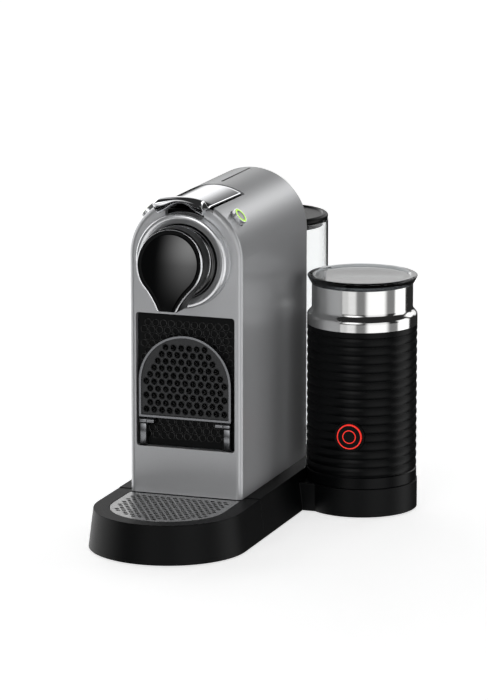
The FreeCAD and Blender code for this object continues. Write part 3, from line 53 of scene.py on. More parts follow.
# What all finishes share: detail of the two noises, the span of the grain that moves the roughness, how much
# the grain lifts the surface, the clear coat's roughness, rays that look for a near edge, and the share of
# metal from which a finish keeps the default IOR.
GRAIN_DETAIL, CLOUD_DETAIL = 3.0, 2.0
GRAIN_SPAN = (0.3, 0.7)
BUMP_STRENGTH = 0.6
COAT_ROUGHNESS = 0.06
EDGE_RAYS = 6
METAL_FROM = 0.5

# Steps round an eased corner, how upright an axis is before its first spoke is found from the right, and the
# distances in metres under which points merge and slivers go.
CORNER_STEPS = 7
UPRIGHT = 0.9
SEAM_M = 2e-6
SLIVER_M = 1e-6


class Edge(Enum):
    """How a mesh is shaded across its folds."""

    SOFT = 180.0
    CRISP = 32.0


class Along(Enum):
    """The axis that an outline is drawn along."""

    X = 0
    Y = 1
    Z = 2


def linear(code: str) -> tuple[float, float, float, float]:
    """Turns an sRGB hex colour into linear RGBA.

    Args:
        code: six hex digits with a leading #.

    Returns:
        The colour for a shader socket.
    """
    parts = np.array([int(code[i:i + 2], 16) for i in (1, 3, 5)]) / 255.0
    low = parts / 12.92
    high = ((parts + 0.055) / 1.055) ** 2.4
    return (*np.where(parts <= 0.04045, low, high).tolist(), 1.0)


def add(tree: bpy.types.NodeTree, kind: str, inputs: dict | None = None, **settings) -> bpy.types.Node:
    """Adds one shader node.

    Args:
        tree: the material's node tree.
        kind: the node's type name.
        inputs: socket name or index to a value, or to a socket that feeds it.
        settings: the node's own properties.

    Returns:
        The new node.
    """
    node = tree.nodes.new(kind)
    for name, value in settings.items():
        setattr(node, name, value)
    for socket, value in (inputs or {}).items():
        if isinstance(value, bpy.types.NodeSocket):
            tree.links.new(value, node.inputs[socket])
        else:
            node.inputs[socket].default_value = value
    return node


def per_metre(size_mm: float) -> float:
    """Texture scale that gives features of a size in millimetres on Object coordinates in metres."""
    return MM_PER_METRE / size_mm


@dataclass(frozen=True)
class Finish:
    """One finish: a Principled surface with fine grain from Object coordinates.

    The grain is noise in cells of grain_mm, stretched by grain_stretch on each axis. It moves the roughness
    by rough_spread and lifts the surface by bump_mm; the colour drifts to tint in broad clouds of cloud_mm.
    Edges catch the light as if they were rounded by edge_mm.
    """

    name: str
    colour: str
    tint: str
    roughness: float
    metallic: float = 0.0
    ior: float = 1.5
    coat: float = 0.0
    grain_mm: float = 0.8
    grain_stretch: tuple[float, float, float] = (1.0, 1.0, 1.0)
    rough_spread: float = 0.06
    bump_mm: float = 0.01
    cloud_mm: float = 60.0
    edge_mm: float = 0.0

    def material(self) -> bpy.types.Material:
        """Makes the material, or returns the one made before."""
        made = bpy.data.materials.get(self.name)
        if made is not None:
            return made
        made = bpy.data.materials.new(self.name)
        made.use_nodes = True
        tree = made.node_tree
        tree.nodes.clear()
        shader = self.shade(tree)
        add(tree, "ShaderNodeOutputMaterial", {"Surface": shader.outputs["BSDF"], **self.inside(tree)})
        return made

    def inside(self, tree: bpy.types.NodeTree) -> dict[str, bpy.types.NodeSocket]:
        """What the light meets below the surface: nothing, in an opaque finish."""
        return {}

    def shade(self, tree: bpy.types.NodeTree) -> bpy.types.Node:
        """Builds the shader.

        Args:
            tree: the material's node tree.

        Returns:
            The Principled node.
        """
        place = add(tree, "ShaderNodeTexCoord").outputs["Object"]
        stretched = add(tree, "ShaderNodeMapping", {"Vector": place, "Scale": self.grain_stretch})
        grain = add(tree, "ShaderNodeTexNoise",
                    {"Vector": stretched.outputs["Vector"], "Scale": per_metre(self.grain_mm),
                     "Detail": GRAIN_DETAIL}).outputs["Fac"]
        cloud = add(tree, "ShaderNodeTexNoise",
                    {"Vector": place, "Scale": per_metre(self.cloud_mm),
                     "Detail": CLOUD_DETAIL}).outputs["Fac"]
        colour = add(tree, "ShaderNodeMix",
                     {"Factor": cloud, "A": linear(self.colour), "B": linear(self.tint)},
                     data_type="RGBA").outputs["Result"]
        rough = add(tree, "ShaderNodeMapRange",
                    {"Value": grain, "From Min": GRAIN_SPAN[0], "From Max": GRAIN_SPAN[1],
                     "To Min": max(0.0, self.roughness - self.rough_spread),
                     "To Max": self.roughness + self.rough_spread}).outputs["Result"]
        bump = {"Height": grain, "Strength": BUMP_STRENGTH, "Distance": self.bump_mm * MM}
        if self.edge_mm:
            rounded = add(tree, "ShaderNodeBevel", {"Radius": self.edge_mm * MM}, samples=EDGE_RAYS)
            bump["Normal"] = rounded.outputs["Normal"]
        lift = add(tree, "ShaderNodeBump", bump).outputs["Normal"]
        inputs = {"Base Color": colour, "Roughness": rough, "Normal": lift, "Metallic": self.metallic,
                  "Coat Weight": self.coat, "Coat Roughness": COAT_ROUGHNESS}
        if self.metallic < METAL_FROM:
            inputs["IOR"] = self.ior
        return add(tree, "ShaderNodeBsdfPrincipled", inputs)


@dataclass(frozen=True)
class ClearFinish(Finish):
    """A clear moulded wall: light passes through, and is taken up along its path, more so in the thick."""

    depth_colour: str = "#909698"
    per_m: float = 22.0

    def inside(self, tree: bpy.types.NodeTree) -> dict[str, bpy.types.NodeSocket]:
        """Takes up light along its path through the wall."""
        depth = add(tree, "ShaderNodeVolumeAbsorption",
                    {"Color": linear(self.depth_colour), "Density": self.per_m})
        return {"Volume": depth.outputs["Volume"]}

    def shade(self, tree: bpy.types.NodeTree) -> bpy.types.Node:
        """Builds the same shader and lets light through it."""
        shader = super().shade(tree)
        shader.inputs["Transmission Weight"].default_value = 1.0
        return shader


@dataclass(frozen=True)
class LitFinish(Finish):
    """A light guide that glows in its own colour."""

    glow: float = 2.0

    def shade(self, tree: bpy.types.NodeTree) -> bpy.types.Node:
        """Builds the same shader and adds the glow."""
        shader = super().shade(tree)
        shader.inputs["Emission Color"].default_value = linear(self.colour)
        shader.inputs["Emission Strength"].default_value = self.glow
        return shader


@dataclass(frozen=True)
class Patch:
    """A grid of points in millimetres, shaped (rows, columns, 3), that may close on itself either way."""

    points: np.ndarray
    loop_rows: bool = False
    loop_columns: bool = False

    def quads(self, start: int) -> np.ndarray:
        """Corner numbers of the grid's faces.

        Args:
            start: the number of the grid's first point.

        Returns:
            One row of four corners for each face.
        """
        rows, columns = self.points.shape[:2]
        corner = np.arange(rows * columns).reshape(rows, columns) + start
        corner = np.vstack([corner, corner[:1]]) if self.loop_rows else corner
        corner = np.hstack([corner, corner[:, :1]]) if self.loop_columns else corner
        sides = [corner[:-1, :-1], corner[:-1, 1:], corner[1:, 1:], corner[1:, :-1]]
        return np.stack(sides, axis=-1).reshape(-1, 4)


def eased(corners: list[tuple[float, float]], cuts: float | list[float], loop: bool = False) -> np.ndarray:
    """Rounds the corners of a flat line.

    A corner C gives way to the curve (1 - t)^2 A + 2 t (1 - t) C + t^2 B, where A and B lie a cut before and
    after it on the line.

    Args:
        corners: the line's corners.
        cuts: the cut at each corner, or one cut for all.
        loop: whether the line closes; the ends of an open line stay as they are.

    Returns:
        The points of the rounded line.
    """
    here = np.array(corners, dtype=float)
    cut = np.array(np.broadcast_to(cuts, len(here)), dtype=float)[:, None]
    if not loop:
        cut[[0, -1]] = 0.0
    ahead, behind = np.roll(here, -1, axis=0) - here, np.roll(here, 1, axis=0) - here
    start = here + behind * cut / np.linalg.norm(behind, axis=1, keepdims=True)
    end = here + ahead * cut / np.linalg.norm(ahead, axis=1, keepdims=True)
    t = np.linspace(0.0, 1.0, CORNER_STEPS)[:, None]
    curve = (1 - t) ** 2 * start[:, None] + 2 * t * (1 - t) * here[:, None] + t ** 2 * end[:, None]
    return curve.reshape(-1, 2)


def turned(profile: np.ndarray, centre: tuple[float, float, float], axis: tuple[float, float, float],
           steps: int = 96, loop: bool = False) -> Patch:
    """Carries a profile round an axis.

    A point is centre + height axis + radius (u cos a + v sin a), with u and v square to the axis.

    Args:
        profile: pairs of radius and height.
        centre: where the height is nought.
        axis: the axis that it turns about.
        steps: steps round the axis.
        loop: whether the profile closes on itself.

    Returns:
        The turned surface.
    """
    along = np.array(axis) / np.linalg.norm(axis)
    side = np.cross(along, UP if abs(along[2]) < UPRIGHT else RIGHT)
    side /= np.linalg.norm(side)
    angle = np.linspace(0.0, 2 * np.pi, steps, endpoint=False)[:, None]
    spoke = np.cos(angle) * side + np.sin(angle) * np.cross(along, side)
    points = np.array(centre) + profile[:, 1, None, None] * along + profile[:, 0, None, None] * spoke
    return Patch(points, loop_rows=loop, loop_columns=True)


def drawn(outline: np.ndarray, ends: tuple[float, float], along: Along, ease: float = 0.3) -> Patch:
    """Carries a flat outline straight along an axis and closes it at both ends.

    The outline keeps its size between the ends, shrinks there by ease towards its middle, and then to a
    point.

    Args:
        outline: the closed outline in the two other axes, in the order x, y, z.
        ends: where it starts and ends on the axis.
        along: the axis.
        ease: how much its end edges are rounded.

    Returns:
        The closed surface.
    """
    middle = outline.mean(axis=0)
    spoke = outline - middle
    small = spoke * (1 - ease / np.linalg.norm(spoke, axis=1, keepdims=True))
    flat = middle + np.stack([spoke * 0, small, spoke, spoke, small, spoke * 0])
    place = np.array([ends[0], ends[0], ends[0] + ease, ends[1] - ease, ends[1], ends[1]])
    place = np.broadcast_to(place[:, None, None], (*flat.shape[:2], 1))
    return Patch(np.concatenate([flat[..., :along.value], place, flat[..., along.value:]], axis=-1),
                 loop_columns=True)


def smooth_step(value: np.ndarray) -> np.ndarray:
    """Rises from 0 to 1 with level ends: t^3 (6 t^2 - 15 t + 10), with t held between 0 and 1."""
    t = np.clip(value, 0.0, 1.0)
    return t ** 3 * (t * (t * 6 - 15) + 10)


def lay(name: str, patches: list[Patch], finish: Finish, body: str,
        replaces: tuple[str, ...] = (), edge: Edge = Edge.SOFT) -> None:
    """Makes one piece of its patches, with seams and poles closed and faces outwards.

    Args:
        name: the piece's name.
        patches: its surfaces.
        finish: its finish.
        body: the body that it rides on.
        replaces: the nodes that it stands for.
        edge: how its folds are shaded.
    """
    counts = [patch.points.shape[0] * patch.points.shape[1] for patch in patches]
    starts = np.cumsum([0, *counts[:-1]])
    points = np.concatenate([patch.points.reshape(-1, 3) for patch in patches])
    quads = np.concatenate([patch.quads(start) for patch, start in zip(patches, starts)])
    mesh = bpy.data.meshes.new(name)
    mesh.from_pydata(((points + ROW) * MM).tolist(), [], quads.tolist())
    shape = bmesh.new()
    shape.from_mesh(mesh)
    bmesh.ops.remove_doubles(shape, verts=shape.verts, dist=SEAM_M)
    bmesh.ops.dissolve_degenerate(shape, edges=shape.edges, dist=SLIVER_M)
    bmesh.ops.recalc_face_normals(shape, faces=shape.faces)
    shape.to_mesh(mesh)
    shape.free()
    mesh.polygons.foreach_set("use_smooth", np.ones(len(mesh.polygons), dtype=bool))
    if edge is Edge.CRISP:
        mesh.set_sharp_from_angle(angle=math.radians(edge.value))
    mesh.materials.append(finish.material())
    piece = bpy.data.objects.new(name, mesh)
    bpy.context.scene.collection.objects.link(piece)
    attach(piece, body)
    if replaces:
        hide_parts(*replaces)
    LOG.info("piece %s: %d faces, rides %s, %s", name, len(mesh.polygons), body, finish.name)


# Sprayed metallic lacquer on ABS: fine flakes give a soft sheen, and a thin clear coat a faint edge light.
SATIN_SILVER = Finish("silver_metallic_lacquer", "#BFC0C2", "#B8B9BB", 0.32, metallic=0.4, coat=0.1,
                      grain_mm=0.35, rough_spread=0.05, bump_mm=0.004, cloud_mm=90.0, edge_mm=0.35)
# Paler lacquer on the brewing ring and the button stems, with more pigment and a glossier coat.
PALE_SILVER = Finish("pale_silver_lacquer", "#EAEBED", "#E4E5E7", 0.22, metallic=0.7, coat=0.3, grain_mm=0.3,
                     rough_spread=0.01, bump_mm=0.0005)
# Bright chromium plate on moulded ABS: mirror-like, with the faintest haze.
CHROME = Finish("chromium_plate", "#E6E7E9", "#DFE0E3", 0.06, metallic=1.0, grain_mm=6.0, rough_spread=0.015,
                bump_mm=0.004)
# Black nickel plate on the hinge and the cup support's rim: a grey, soft mirror.
DARK_NICKEL = Finish("satin_black_nickel", "#8E8F92", "#7E7F82", 0.22, metallic=1.0, grain_mm=0.6,
                     bump_mm=0.004, edge_mm=0.4)
# Stainless steel polished on a lathe: streaks run round the jug, so the grain is stretched along x and y.
STEEL = Finish("turned_stainless_steel", "#D8D8D7", "#CECECD", 0.1, metallic=1.0, grain_mm=0.5,
               grain_stretch=(0.02, 0.02, 1.0), rough_spread=0.03, bump_mm=0.0015)
# Stamped stainless sheet with a scratch-brushed face.
STAMPED_STEEL = Finish("stamped_stainless_sheet", "#A9A9A9", "#9A9A9A", 0.27, metallic=1.0, grain_mm=0.5,
                       grain_stretch=(0.1, 1.0, 1.0), rough_spread=0.08, bump_mm=0.004, edge_mm=0.3)
# Moulded ABS with a fine spark-eroded grain, about 0.5 mm here so that it shows.
MATT_BLACK = Finish("grained_black_abs", "#060708", "#090A0B", 0.46, ior=1.22, grain_mm=0.5,
                    rough_spread=0.07, bump_mm=0.008, edge_mm=1.2)
# Black ABS with a smoother, silky face: the ribbed grip, the spout's wall and the tank's lid.
SILK_BLACK = Finish("silky_black_abs", "#050607", "#08090A", 0.33, ior=1.2, grain_mm=0.6, rough_spread=0.04,
                    bump_mm=0.004, edge_mm=0.5)
# Black lacquer on the stamped cup support, satin; its grey tone is partly its own, partly painted sheen.
SATIN_BLACK = Finish("satin_black_lacquer", "#222325", "#292A2C", 0.3, ior=1.5, grain_mm=0.5,
                     rough_spread=0.05, bump_mm=0.004, edge_mm=0.4)
# High-gloss black ABS: mirror-smooth moulding with a trace of flow haze.
GLOSS_BLACK = Finish("gloss_black_abs", "#050607", "#08090A", 0.08, ior=1.52, coat=0.4, grain_mm=8.0,
                     rough_spread=0.02, bump_mm=0.004)
# Clear copolyester: thin walls read pale, and the wall is grey where it is seen edge on.
CLEAR = ClearFinish("clear_copolyester", "#FCFDFD", "#FAFBFB", 0.03, ior=1.3, grain_mm=10.0,
                    rough_spread=0.01, bump_mm=0.004)
# Smoke-tinted clear styrene acrylonitrile: grey where it is thick.
SMOKE = ClearFinish("smoked_clear_san", "#C9CCCE", "#C2C5C7", 0.07, ior=1.4, grain_mm=10.0, rough_spread=0.02,
                    bump_mm=0.004, depth_colour="#6A6D70", per_m=110.0)
# Silicone and rubber: matt with a faint bloom.
RUBBER = Finish("black_silicone_rubber", "#1B1B1C", "#242425", 0.75, grain_mm=0.7, bump_mm=0.02)
# Glass-filled nylon for the works: mid grey with a mottled skin.
NYLON = Finish("glass_filled_nylon", "#5B5E62", "#66696D", 0.5, grain_mm=1.2, bump_mm=0.02, cloud_mm=25.0)
# Die-cast aluminium: grey, pitted by the mould.
CAST_ALLOY = Finish("die_cast_aluminium", "#A7A8A9", "#979899", 0.42, metallic=1.0, grain_mm=1.0,
                    bump_mm=0.03)
# Zinc-plated pressed steel.
ZINC = Finish("zinc_plated_steel", "#9AA0A4", "#8B9094", 0.33, metallic=1.0, grain_mm=2.5, bump_mm=0.006)
# Solder mask over a printed circuit board.
SOLDER_MASK = Finish("green_solder_mask", "#1E5A33", "#17492A", 0.3, grain_mm=3.0, bump_mm=0.01)
# Light guides of tinted acrylic, lit from behind.
GREEN_LIGHT = LitFinish("green_light_guide", "#A4D82A", "#98CC20", 0.3, grain_mm=2.0, glow=0.8)
RED_LIGHT = LitFinish("red_light_guide", "#E0261A", "#D02014", 0.3, grain_mm=2.0, glow=0.8)
# Matt emulsion paint on the studio floor, lifted by its own faint glow to the backdrop's white.
FLOOR_PAINT = LitFinish("pale_floor_paint", "#F7F7F7", "#F5F5F5", 0.6, grain_mm=40.0, bump_mm=0.0, glow=0.74)

# The finish of each node that keeps its own shape.
NODE_FINISH: dict[Finish, str] = {
    SATIN_SILVER: "body_sleeve front_fascia",
    MATT_BLACK: "base_frame drip_tray capsule_drawer drawer_front press_bezel lever_liner slot_well "
                "frother_foot cord_gland dock_connector rear_panel base_cover",
    SILK_BLACK: "frother_grip frother_button",
    SATIN_BLACK: "cup_support",
    DARK_NICKEL: "cup_rim",
    STEEL: "frother_jug whisk lever_pin base_screws",
    STAMPED_STEEL: "drip_grid extraction_plate piercing_blades",
    RUBBER: "rubber_feet lid_seal coupling_seal pump_mounts hoses",
    NYLON: "brew_chamber capsule_cage chassis tank_valve tank_coupling outlet_nozzle flow_meter "
           "button_switches lever_bracket",
    RED_LIGHT: "frother_light",
    CAST_ALLOY: "heating_block frother_heater",
    ZINC: "pump frother_motor magnet_rotor",
    SOLDER_MASK: "control_board",
}


def dress_nodes() -> None:
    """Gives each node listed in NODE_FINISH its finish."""
    for finish, names in NODE_FINISH.items():
        for name in names.split():
            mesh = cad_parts[name].data
            mesh.materials.clear()
            mesh.materials.append(finish.material())
            LOG.info("node %s: %s", name, finish.name)


@dataclass(frozen=True)
class Lever:
    """The bright lever: a curved plate on the arch that rolls up into a finger lip at the front."""

    arch_z: float = 229.9
    radius: float = 48.1
    thick: float = 1.8
    half_front: float = 20.9
    half_rear: float = 22.7
    lip_y: float = -14.4
    rear_y: float = 72.0
    bow: float = -2.4
    nose: float = 8.0
    lip_high: float = 3.25
    lip_low: float = 2.6
    flare: float = 1.8
    hang: float = 4.0
    brow: float = 0.3
    hang_gain: float = 1.3
    run: float = 8.0
    blend_runs: float = 1.6
    dip: float = 0.6
    dip_runs: float = 0.35
    edge: float = 1.0
    lip_edge: float = 3.0
    pivot_y: float = 70.0
    pivot_z: float = 273.0
    knuckle: float = 2.2
    knuckle_half: float = 3.2
    bore: float = 1.15
    web_sink: float = 0.3
    across_count: int = 65
    nose_count: int = 14
    run_count: int = 24
    edge_count: int = 7

    def plate(self) -> Patch:
        """Plate and lip as one closed skin.

        Along the length s from the lip, the top lies at the arch's radius plus T(s) and the underside at that
        plus B(s): a nose of two quarter ovals, the upper one brow times its height and the lower one
        undercut, then a smooth fall to the plate with a slight dip behind it. Towards its ends the nose
        grows: its crest by flare times the square of the width, its underside by hang in a smooth step. Top
        and underside meet in a half-round edge, wider at the lip.
        """
        across = np.sin(np.linspace(-np.pi / 2, np.pi / 2, self.across_count))[None, :]
        length = self.rear_y - self.lip_y
        joined = self.nose + self.run * self.blend_runs
        s = np.concatenate([
            self.nose * (1 - np.cos(np.linspace(0, np.pi / 2, self.nose_count))),
            np.linspace(self.nose, joined, self.run_count)[1:],
            np.linspace(joined, length - self.edge, self.run_count)[1:],
            length - self.edge + self.edge * np.sin(np.linspace(0, np.pi / 2, self.edge_count))[1:],
        ])[:, None]
        x = across * (self.half_front + (self.half_rear - self.half_front) * s / length)
        high = self.lip_high + self.flare * across ** 2
        low = self.lip_low + self.hang * smooth_step(self.hang_gain * np.abs(across))
        upper, lower = self.brow * (high + low), (1 - self.brow) * (high + low)
        bulge = np.sqrt(1 - np.clip(1 - s / self.nose, 0, 1) ** 2)
        fall = smooth_step((s - self.nose) / self.run)
        dip = self.dip * np.exp(-((s - self.nose - self.run) / (self.run * self.dip_runs)) ** 2)
        top = (high - upper * (1 - bulge)) * (1 - fall) - dip * (s > self.nose)
        under = (lower * (1 - bulge) - low) * (1 - fall) - self.thick * fall
        edge = self.lip_edge + (self.edge - self.lip_edge) * fall
        side = 1 - np.clip((1 - np.abs(across)) * self.half_front / edge, 0, 1)
        tail = np.clip((s - length + self.edge) / self.edge, 0, 1)
        lift = (top - under) / 2 * np.sqrt(1 - side ** 2) * np.sqrt(1 - tail ** 2)
        lip = self.lip_y + self.bow * across ** 2
        y = np.where(s < joined, lip + s,
                     lip + joined + (s - joined) / (length - joined) * (self.rear_y - lip - joined))
        middle = self.radius + (top + under) / 2
        skins = [np.stack([x, y, self.arch_z + np.sqrt((middle + way * lift) ** 2 - x ** 2)], axis=-1)
                 for way in (1, -1)]
        return Patch(np.concatenate([skins[0], skins[1][-2:0:-1]]), loop_rows=True)

    def hinge(self) -> list[Patch]:
        """The knuckle, a tube turned about the pivot, and the web that joins it to the plate."""
        half, inner = self.knuckle_half, self.radius - self.thick + self.web_sink
        tube = eased([(self.bore, -half), (self.knuckle, -half), (self.knuckle, half), (self.bore, half)],
                     0.25, True)
        front, roof = self.pivot_y - self.knuckle * 2, self.arch_z + inner
        rear = self.pivot_y - self.knuckle * 0.8
        web = eased([(front, self.pivot_z), (rear, self.pivot_z - self.knuckle * 0.3), (rear, roof),
                     (front, roof)], 0.3, True)
        return [turned(tube, (0.0, self.pivot_y, self.pivot_z), RIGHT, 40, True),
                drawn(web, (-half, half), Along.X)]

    def build(self) -> None:
        """Builds the lever."""
        lay("lever", [self.plate(), *self.hinge()], CHROME, "lever", ("lever_plate",))


@dataclass(frozen=True)
class Ridge:
    """Black strip in the groove on the sleeve's ridge behind the lever: painted shade for the groove."""

    y: tuple[float, float] = (88.2, 158.0)
    width: float = 2.0
    z: tuple[float, float] = (277.3, 278.04)

    def build(self) -> None:
        """Draws a slim black bar along the groove, as painted shade."""
        half, (low, high) = self.width / 2, self.z
        bar = eased([(-half, low), (half, low), (half, high), (-half, high)], 0.08, True)
        # The black bar is painted shade: it darkens the groove, where only shade falls on the silver sleeve.
        lay("ridge_groove_painted_shade", [drawn(bar, self.y, Along.Y, 0.1)], MATT_BLACK, "machine")


@dataclass(frozen=True)
class BrewHead:
    """The silver ring and the black disc behind the spout."""

    centre: tuple[float, float, float] = (0.0, 0.0, 228.7)
    ring: float = 38.4
    bore: float = 30.4
    proud: float = 10.5
    seat: float = 2.5
    disc: float = 30.0
    disc_proud: float = 14.0
    depth: float = 6.0

    def build(self) -> None:
        """Turns the ring and the disc about the brewing axis; heights run to the front."""
        ring, crest, low, foot = self.ring, self.proud, self.bore, -self.depth + 0.1
        band = eased([(ring + 0.8, 0.05), (ring, 1.6), (ring, crest - 0.4), (ring - 2.6, crest + 0.3),
                      (low + 0.2, crest - 0.9), (low, self.seat), (low, foot), (low + 1.5, foot),
                      (low + 1.5, 0.05)],
                     [0.15, 1.0, 1.4, 1.2, 1.6, 0.5, 0.2, 0.2, 0.2], True)
        lay("head_ring", [turned(band, self.centre, FRONT, 144, True)], PALE_SILVER, "machine",
            ("brew_ring",))
        rim = self.disc - 0.05
        cap = eased([(0.0, self.disc_proud), (rim, self.disc_proud), (rim, foot), (0.0, foot)],
                    [0.0, 3.4, 0.5, 0.0])
        lay("head_plate", [turned(cap, self.centre, FRONT, 144)], GLOSS_BLACK, "machine",
            ("head_disc",))


@dataclass(frozen=True)
class Spout:
    """The teardrop spout: a round that runs in two hollow flanks to a narrow tip, with a leaning front."""

    centre_z: float = 231.0
    radius: float = 28.15
    tip_half: float = 8.0
    tip_z: float = 193.3
    turn_deg: float = 44.0
    front_y: float = -37.0
    lean_z: float = 228.7
    lean_deg: float = 9.4
    trim: float = 1.9
    trim_depth: float = 3.0
    back_y: float = -14.0
    rear_y: float = -17.0
    dome: float = 3.2
    dome_long: float = 0.62
    face_proud: float = 0.5
    face_back: float = 1.4
    face_foot: float = 1.5
    moat: float = 2.7
    corner: float = 1.0
    tip_rise: float = 0.25
    tip_share: float = 0.8
    gap_high: float = 0.6
    gap_side: float = 1.6
    fade: float = 0.75
    fade_over: float = 0.85
    bead_power: float = 0.7
    count: int = 320
    dense: int = 4
    flank_count: int = 200
    arc_count: int = 300
    bead_count: int = 20
    face_count: int = 40
    end_steps: int = 3

    def outline(self) -> np.ndarray:
        """Closed outline in x and z, in even steps.

        The right half starts at the middle of the tip: its flat, the hollow flank about a centre outside, and
        the round. The left half mirrors it. A running mean over a corner each way rounds the tip's corners.
        """
        turn = math.radians(self.turn_deg)
        way = np.array([math.cos(turn), -math.sin(turn)])
        touch = np.array([0.0, self.centre_z]) + self.radius * way
        tip = np.array([self.tip_half, self.tip_z])
        hollow = ((tip - touch) @ (tip - touch)) / (2 * (tip - touch) @ way)
        middle = touch + hollow * way
        low, high = (math.atan2(*(point - middle)[::-1]) % (2 * math.pi) for point in (tip, touch))
        sweep = np.linspace(low, high, self.flank_count)
        flank = middle + hollow * np.stack([np.cos(sweep), np.sin(sweep)], -1)
        bend = np.linspace(-turn, math.pi / 2, self.arc_count)[1:]
        arc = np.array([0.0, self.centre_z]) + self.radius * np.stack([np.cos(bend), np.sin(bend)], -1)
        right = np.concatenate([[[0.0, self.tip_z]], flank, arc])
        whole = np.concatenate([right, right[-2::-1] * (-1, 1)])
        path = np.concatenate([[0.0], np.cumsum(np.linalg.norm(np.diff(whole, axis=0), axis=1))])
        dense = np.linspace(0.0, path[-1], self.count * self.dense, endpoint=False)
        even = np.stack([np.interp(dense, path, whole[:, axis]) for axis in (0, 1)], -1)
        reach = max(1, int(self.corner / (path[-1] / len(dense))))
        soft = np.mean([np.roll(even, shift, axis=0) for shift in range(-reach, reach + 1)], axis=0)
        return soft[::self.dense]

    def smaller(self, depth: float) -> np.ndarray:
        """Outline of a like shape whose round is smaller by a depth, and its tip by a share of that."""
        half, tip = self.tip_half - self.tip_share * depth, self.tip_z + self.tip_rise * depth
        return replace(self, radius=self.radius - depth, tip_half=half, tip_z=tip).outline()

    def inset(self, depth: np.ndarray) -> np.ndarray:
        """Outline moved inwards, square to itself, once for each depth."""
        line = self.outline()
        step = np.roll(line, -1, axis=0) - np.roll(line, 1, axis=0)
        inward = np.stack([-step[:, 1], step[:, 0]], -1) / np.linalg.norm(step, axis=1, keepdims=True)
        return line + inward * np.reshape(depth, (-1, 1, 1))

    def lift(self, flat: np.ndarray, lean: np.ndarray, offset: np.ndarray) -> np.ndarray:
        """Puts x and z into space at y = lean times the leaning front's y, plus an offset."""
        front = self.front_y + (flat[..., 1] - self.lean_z) * math.tan(math.radians(self.lean_deg))
        y = np.asarray(lean) * front + np.asarray(offset)
        return np.stack([flat[..., 0], y, flat[..., 1]], axis=-1)

    def housing(self) -> Patch:
        """Black side wall: a profile of inset and depth carried round the outline, closed front and rear."""
        rear, ahead = self.rear_y, self.trim_depth
        # Each row is an inset, a share of the front's lean and an offset, from the rear to the front.
        profile = np.array([
            (3.0, 0.0, self.back_y), (3.0, 0.0, rear + 0.7), (2.6, 0.0, rear), (0.7, 0.0, rear),
            (0.2, 0.0, rear - 0.2), (0.0, 0.0, rear - 0.8), (0.0, 0.5, (rear + ahead) / 2),
            (0.0, 1.0, ahead + 0.9), (0.0, 1.0, ahead + 0.4), (0.3, 1.0, ahead + 0.1),
            (1.6, 1.0, ahead + 0.1)])
        wall = self.lift(self.inset(profile[:, 0]), profile[:, 1, None], profile[:, 2, None])
        ends = [np.broadcast_to(row.mean(axis=0), (1, *row.shape)) for row in (wall[0], wall[-1])]
        return Patch(np.concatenate([ends[0], wall, ends[1]]), loop_columns=True)

    def bead(self, middle: float, half: float, lean: float, offset: float, deep: float, tip: bool) -> Patch:
        """Rounded band round the outline: an oval of half a width and half a depth carried round it.

        Without the tip the band leaves out the flat of the tip, closes to a point at both its ends, and
        narrows in a smooth step to a fine line over the top of the round.
        """
        w = np.linspace(0, 2 * np.pi, self.bead_count, endpoint=False)
        wide = half * np.sign(np.cos(w)) * np.abs(np.cos(w)) ** self.bead_power
        band = self.lift(self.inset(middle + wide), lean, (offset - deep * np.sin(w))[:, None])
        if tip:
            return Patch(band, loop_rows=True, loop_columns=True)
        core = self.lift(self.inset(np.array([middle])), lean, offset)
        x, z = core[0, :, 0], core[0, :, 2]
        above, beside = self.tip_z + self.trim + self.gap_high, self.tip_half - self.gap_side
        kept = np.nonzero((z > above) | (np.abs(x) > beside))[0]
        rank = np.arange(len(kept))
        ends = np.sqrt(1 - (1 - np.clip(np.minimum(rank, rank[::-1]) / self.end_steps, 0, 1)) ** 2)
        top = smooth_step((z[kept] - self.centre_z) / (self.fade_over * self.radius))
        ends = ends * (1 - self.fade * top)
        shrunk = core[:, kept] + (band - core)[:, kept] * ends[None, :, None]
        return Patch(shrunk, loop_rows=True)

    def face(self) -> Patch:
        """Domed face: outline shrunk to its middle and raised by dome (1 - (x/a)^2 - (z/b)^2), closed behind.

        The half-axis a is the round's radius; b is the same above the middle and longer below it.
        """
        rim = self.smaller(self.trim + self.moat)
        middle = np.array([0.0, self.centre_z])
        r = np.concatenate([np.linspace(0.0, 1.0, self.face_count), [1.0, 0.0]])[:, None, None]
        flat = middle + r * (rim - middle)
        away = (flat - middle) / self.radius
        away[..., 1] *= np.where(away[..., 1] < 0, self.dome_long, 1.0)
        height = self.dome * (1 - (away ** 2).sum(axis=-1)) + self.face_proud
        height[-2:] = -self.trim_depth + self.face_foot
        return Patch(self.lift(flat, 1.0, self.face_back - height), loop_columns=True)

    def moat_ring(self) -> Patch:
        """Flat black ring between the face and the bright band: a loop of inset and depth carried round."""
        low, high = self.smaller(self.trim - 0.15), self.smaller(self.trim + self.moat - 0.05)
        flat = np.stack([low, low * 0.9 + high * 0.1, high, high, low])
        offset = np.array([1.6, 1.4, 1.5, self.trim_depth - 0.1, self.trim_depth - 0.1])[:, None]
        return Patch(self.lift(flat, 1.0, offset), loop_rows=True, loop_columns=True)

    def build(self) -> None:
        """Builds the housing, the trim, a painted rear-edge highlight and the face in its black ring."""
        lay("spout_shell", [self.housing()], SILK_BLACK, "machine", ("spout_housing",))
        band = self.bead(self.trim / 2, self.trim / 2 - 0.2, 1.0, self.trim_depth / 2, 1.5, False)
        lay("spout_band", [band], CHROME, "machine", ("spout_trim",))
        # A chrome bead on the housing's rear edge: painted highlight for the bright line along that edge.
        rear_edge_highlight = self.bead(0.3, 0.5, 0.0, self.rear_y - 0.6, 0.5, True)
        lay("spout_rear_edge_highlight", [rear_edge_highlight], CHROME, "machine")
        lay("spout_dome", [self.face()], GLOSS_BLACK, "machine", ("spout_face",), Edge.CRISP)
        lay("spout_moat", [self.moat_ring()], MATT_BLACK, "machine", (), Edge.CRISP)


class Side(Enum):
    """Which shoulder a cup button sits on."""

    LEFT = -1
    RIGHT = 1


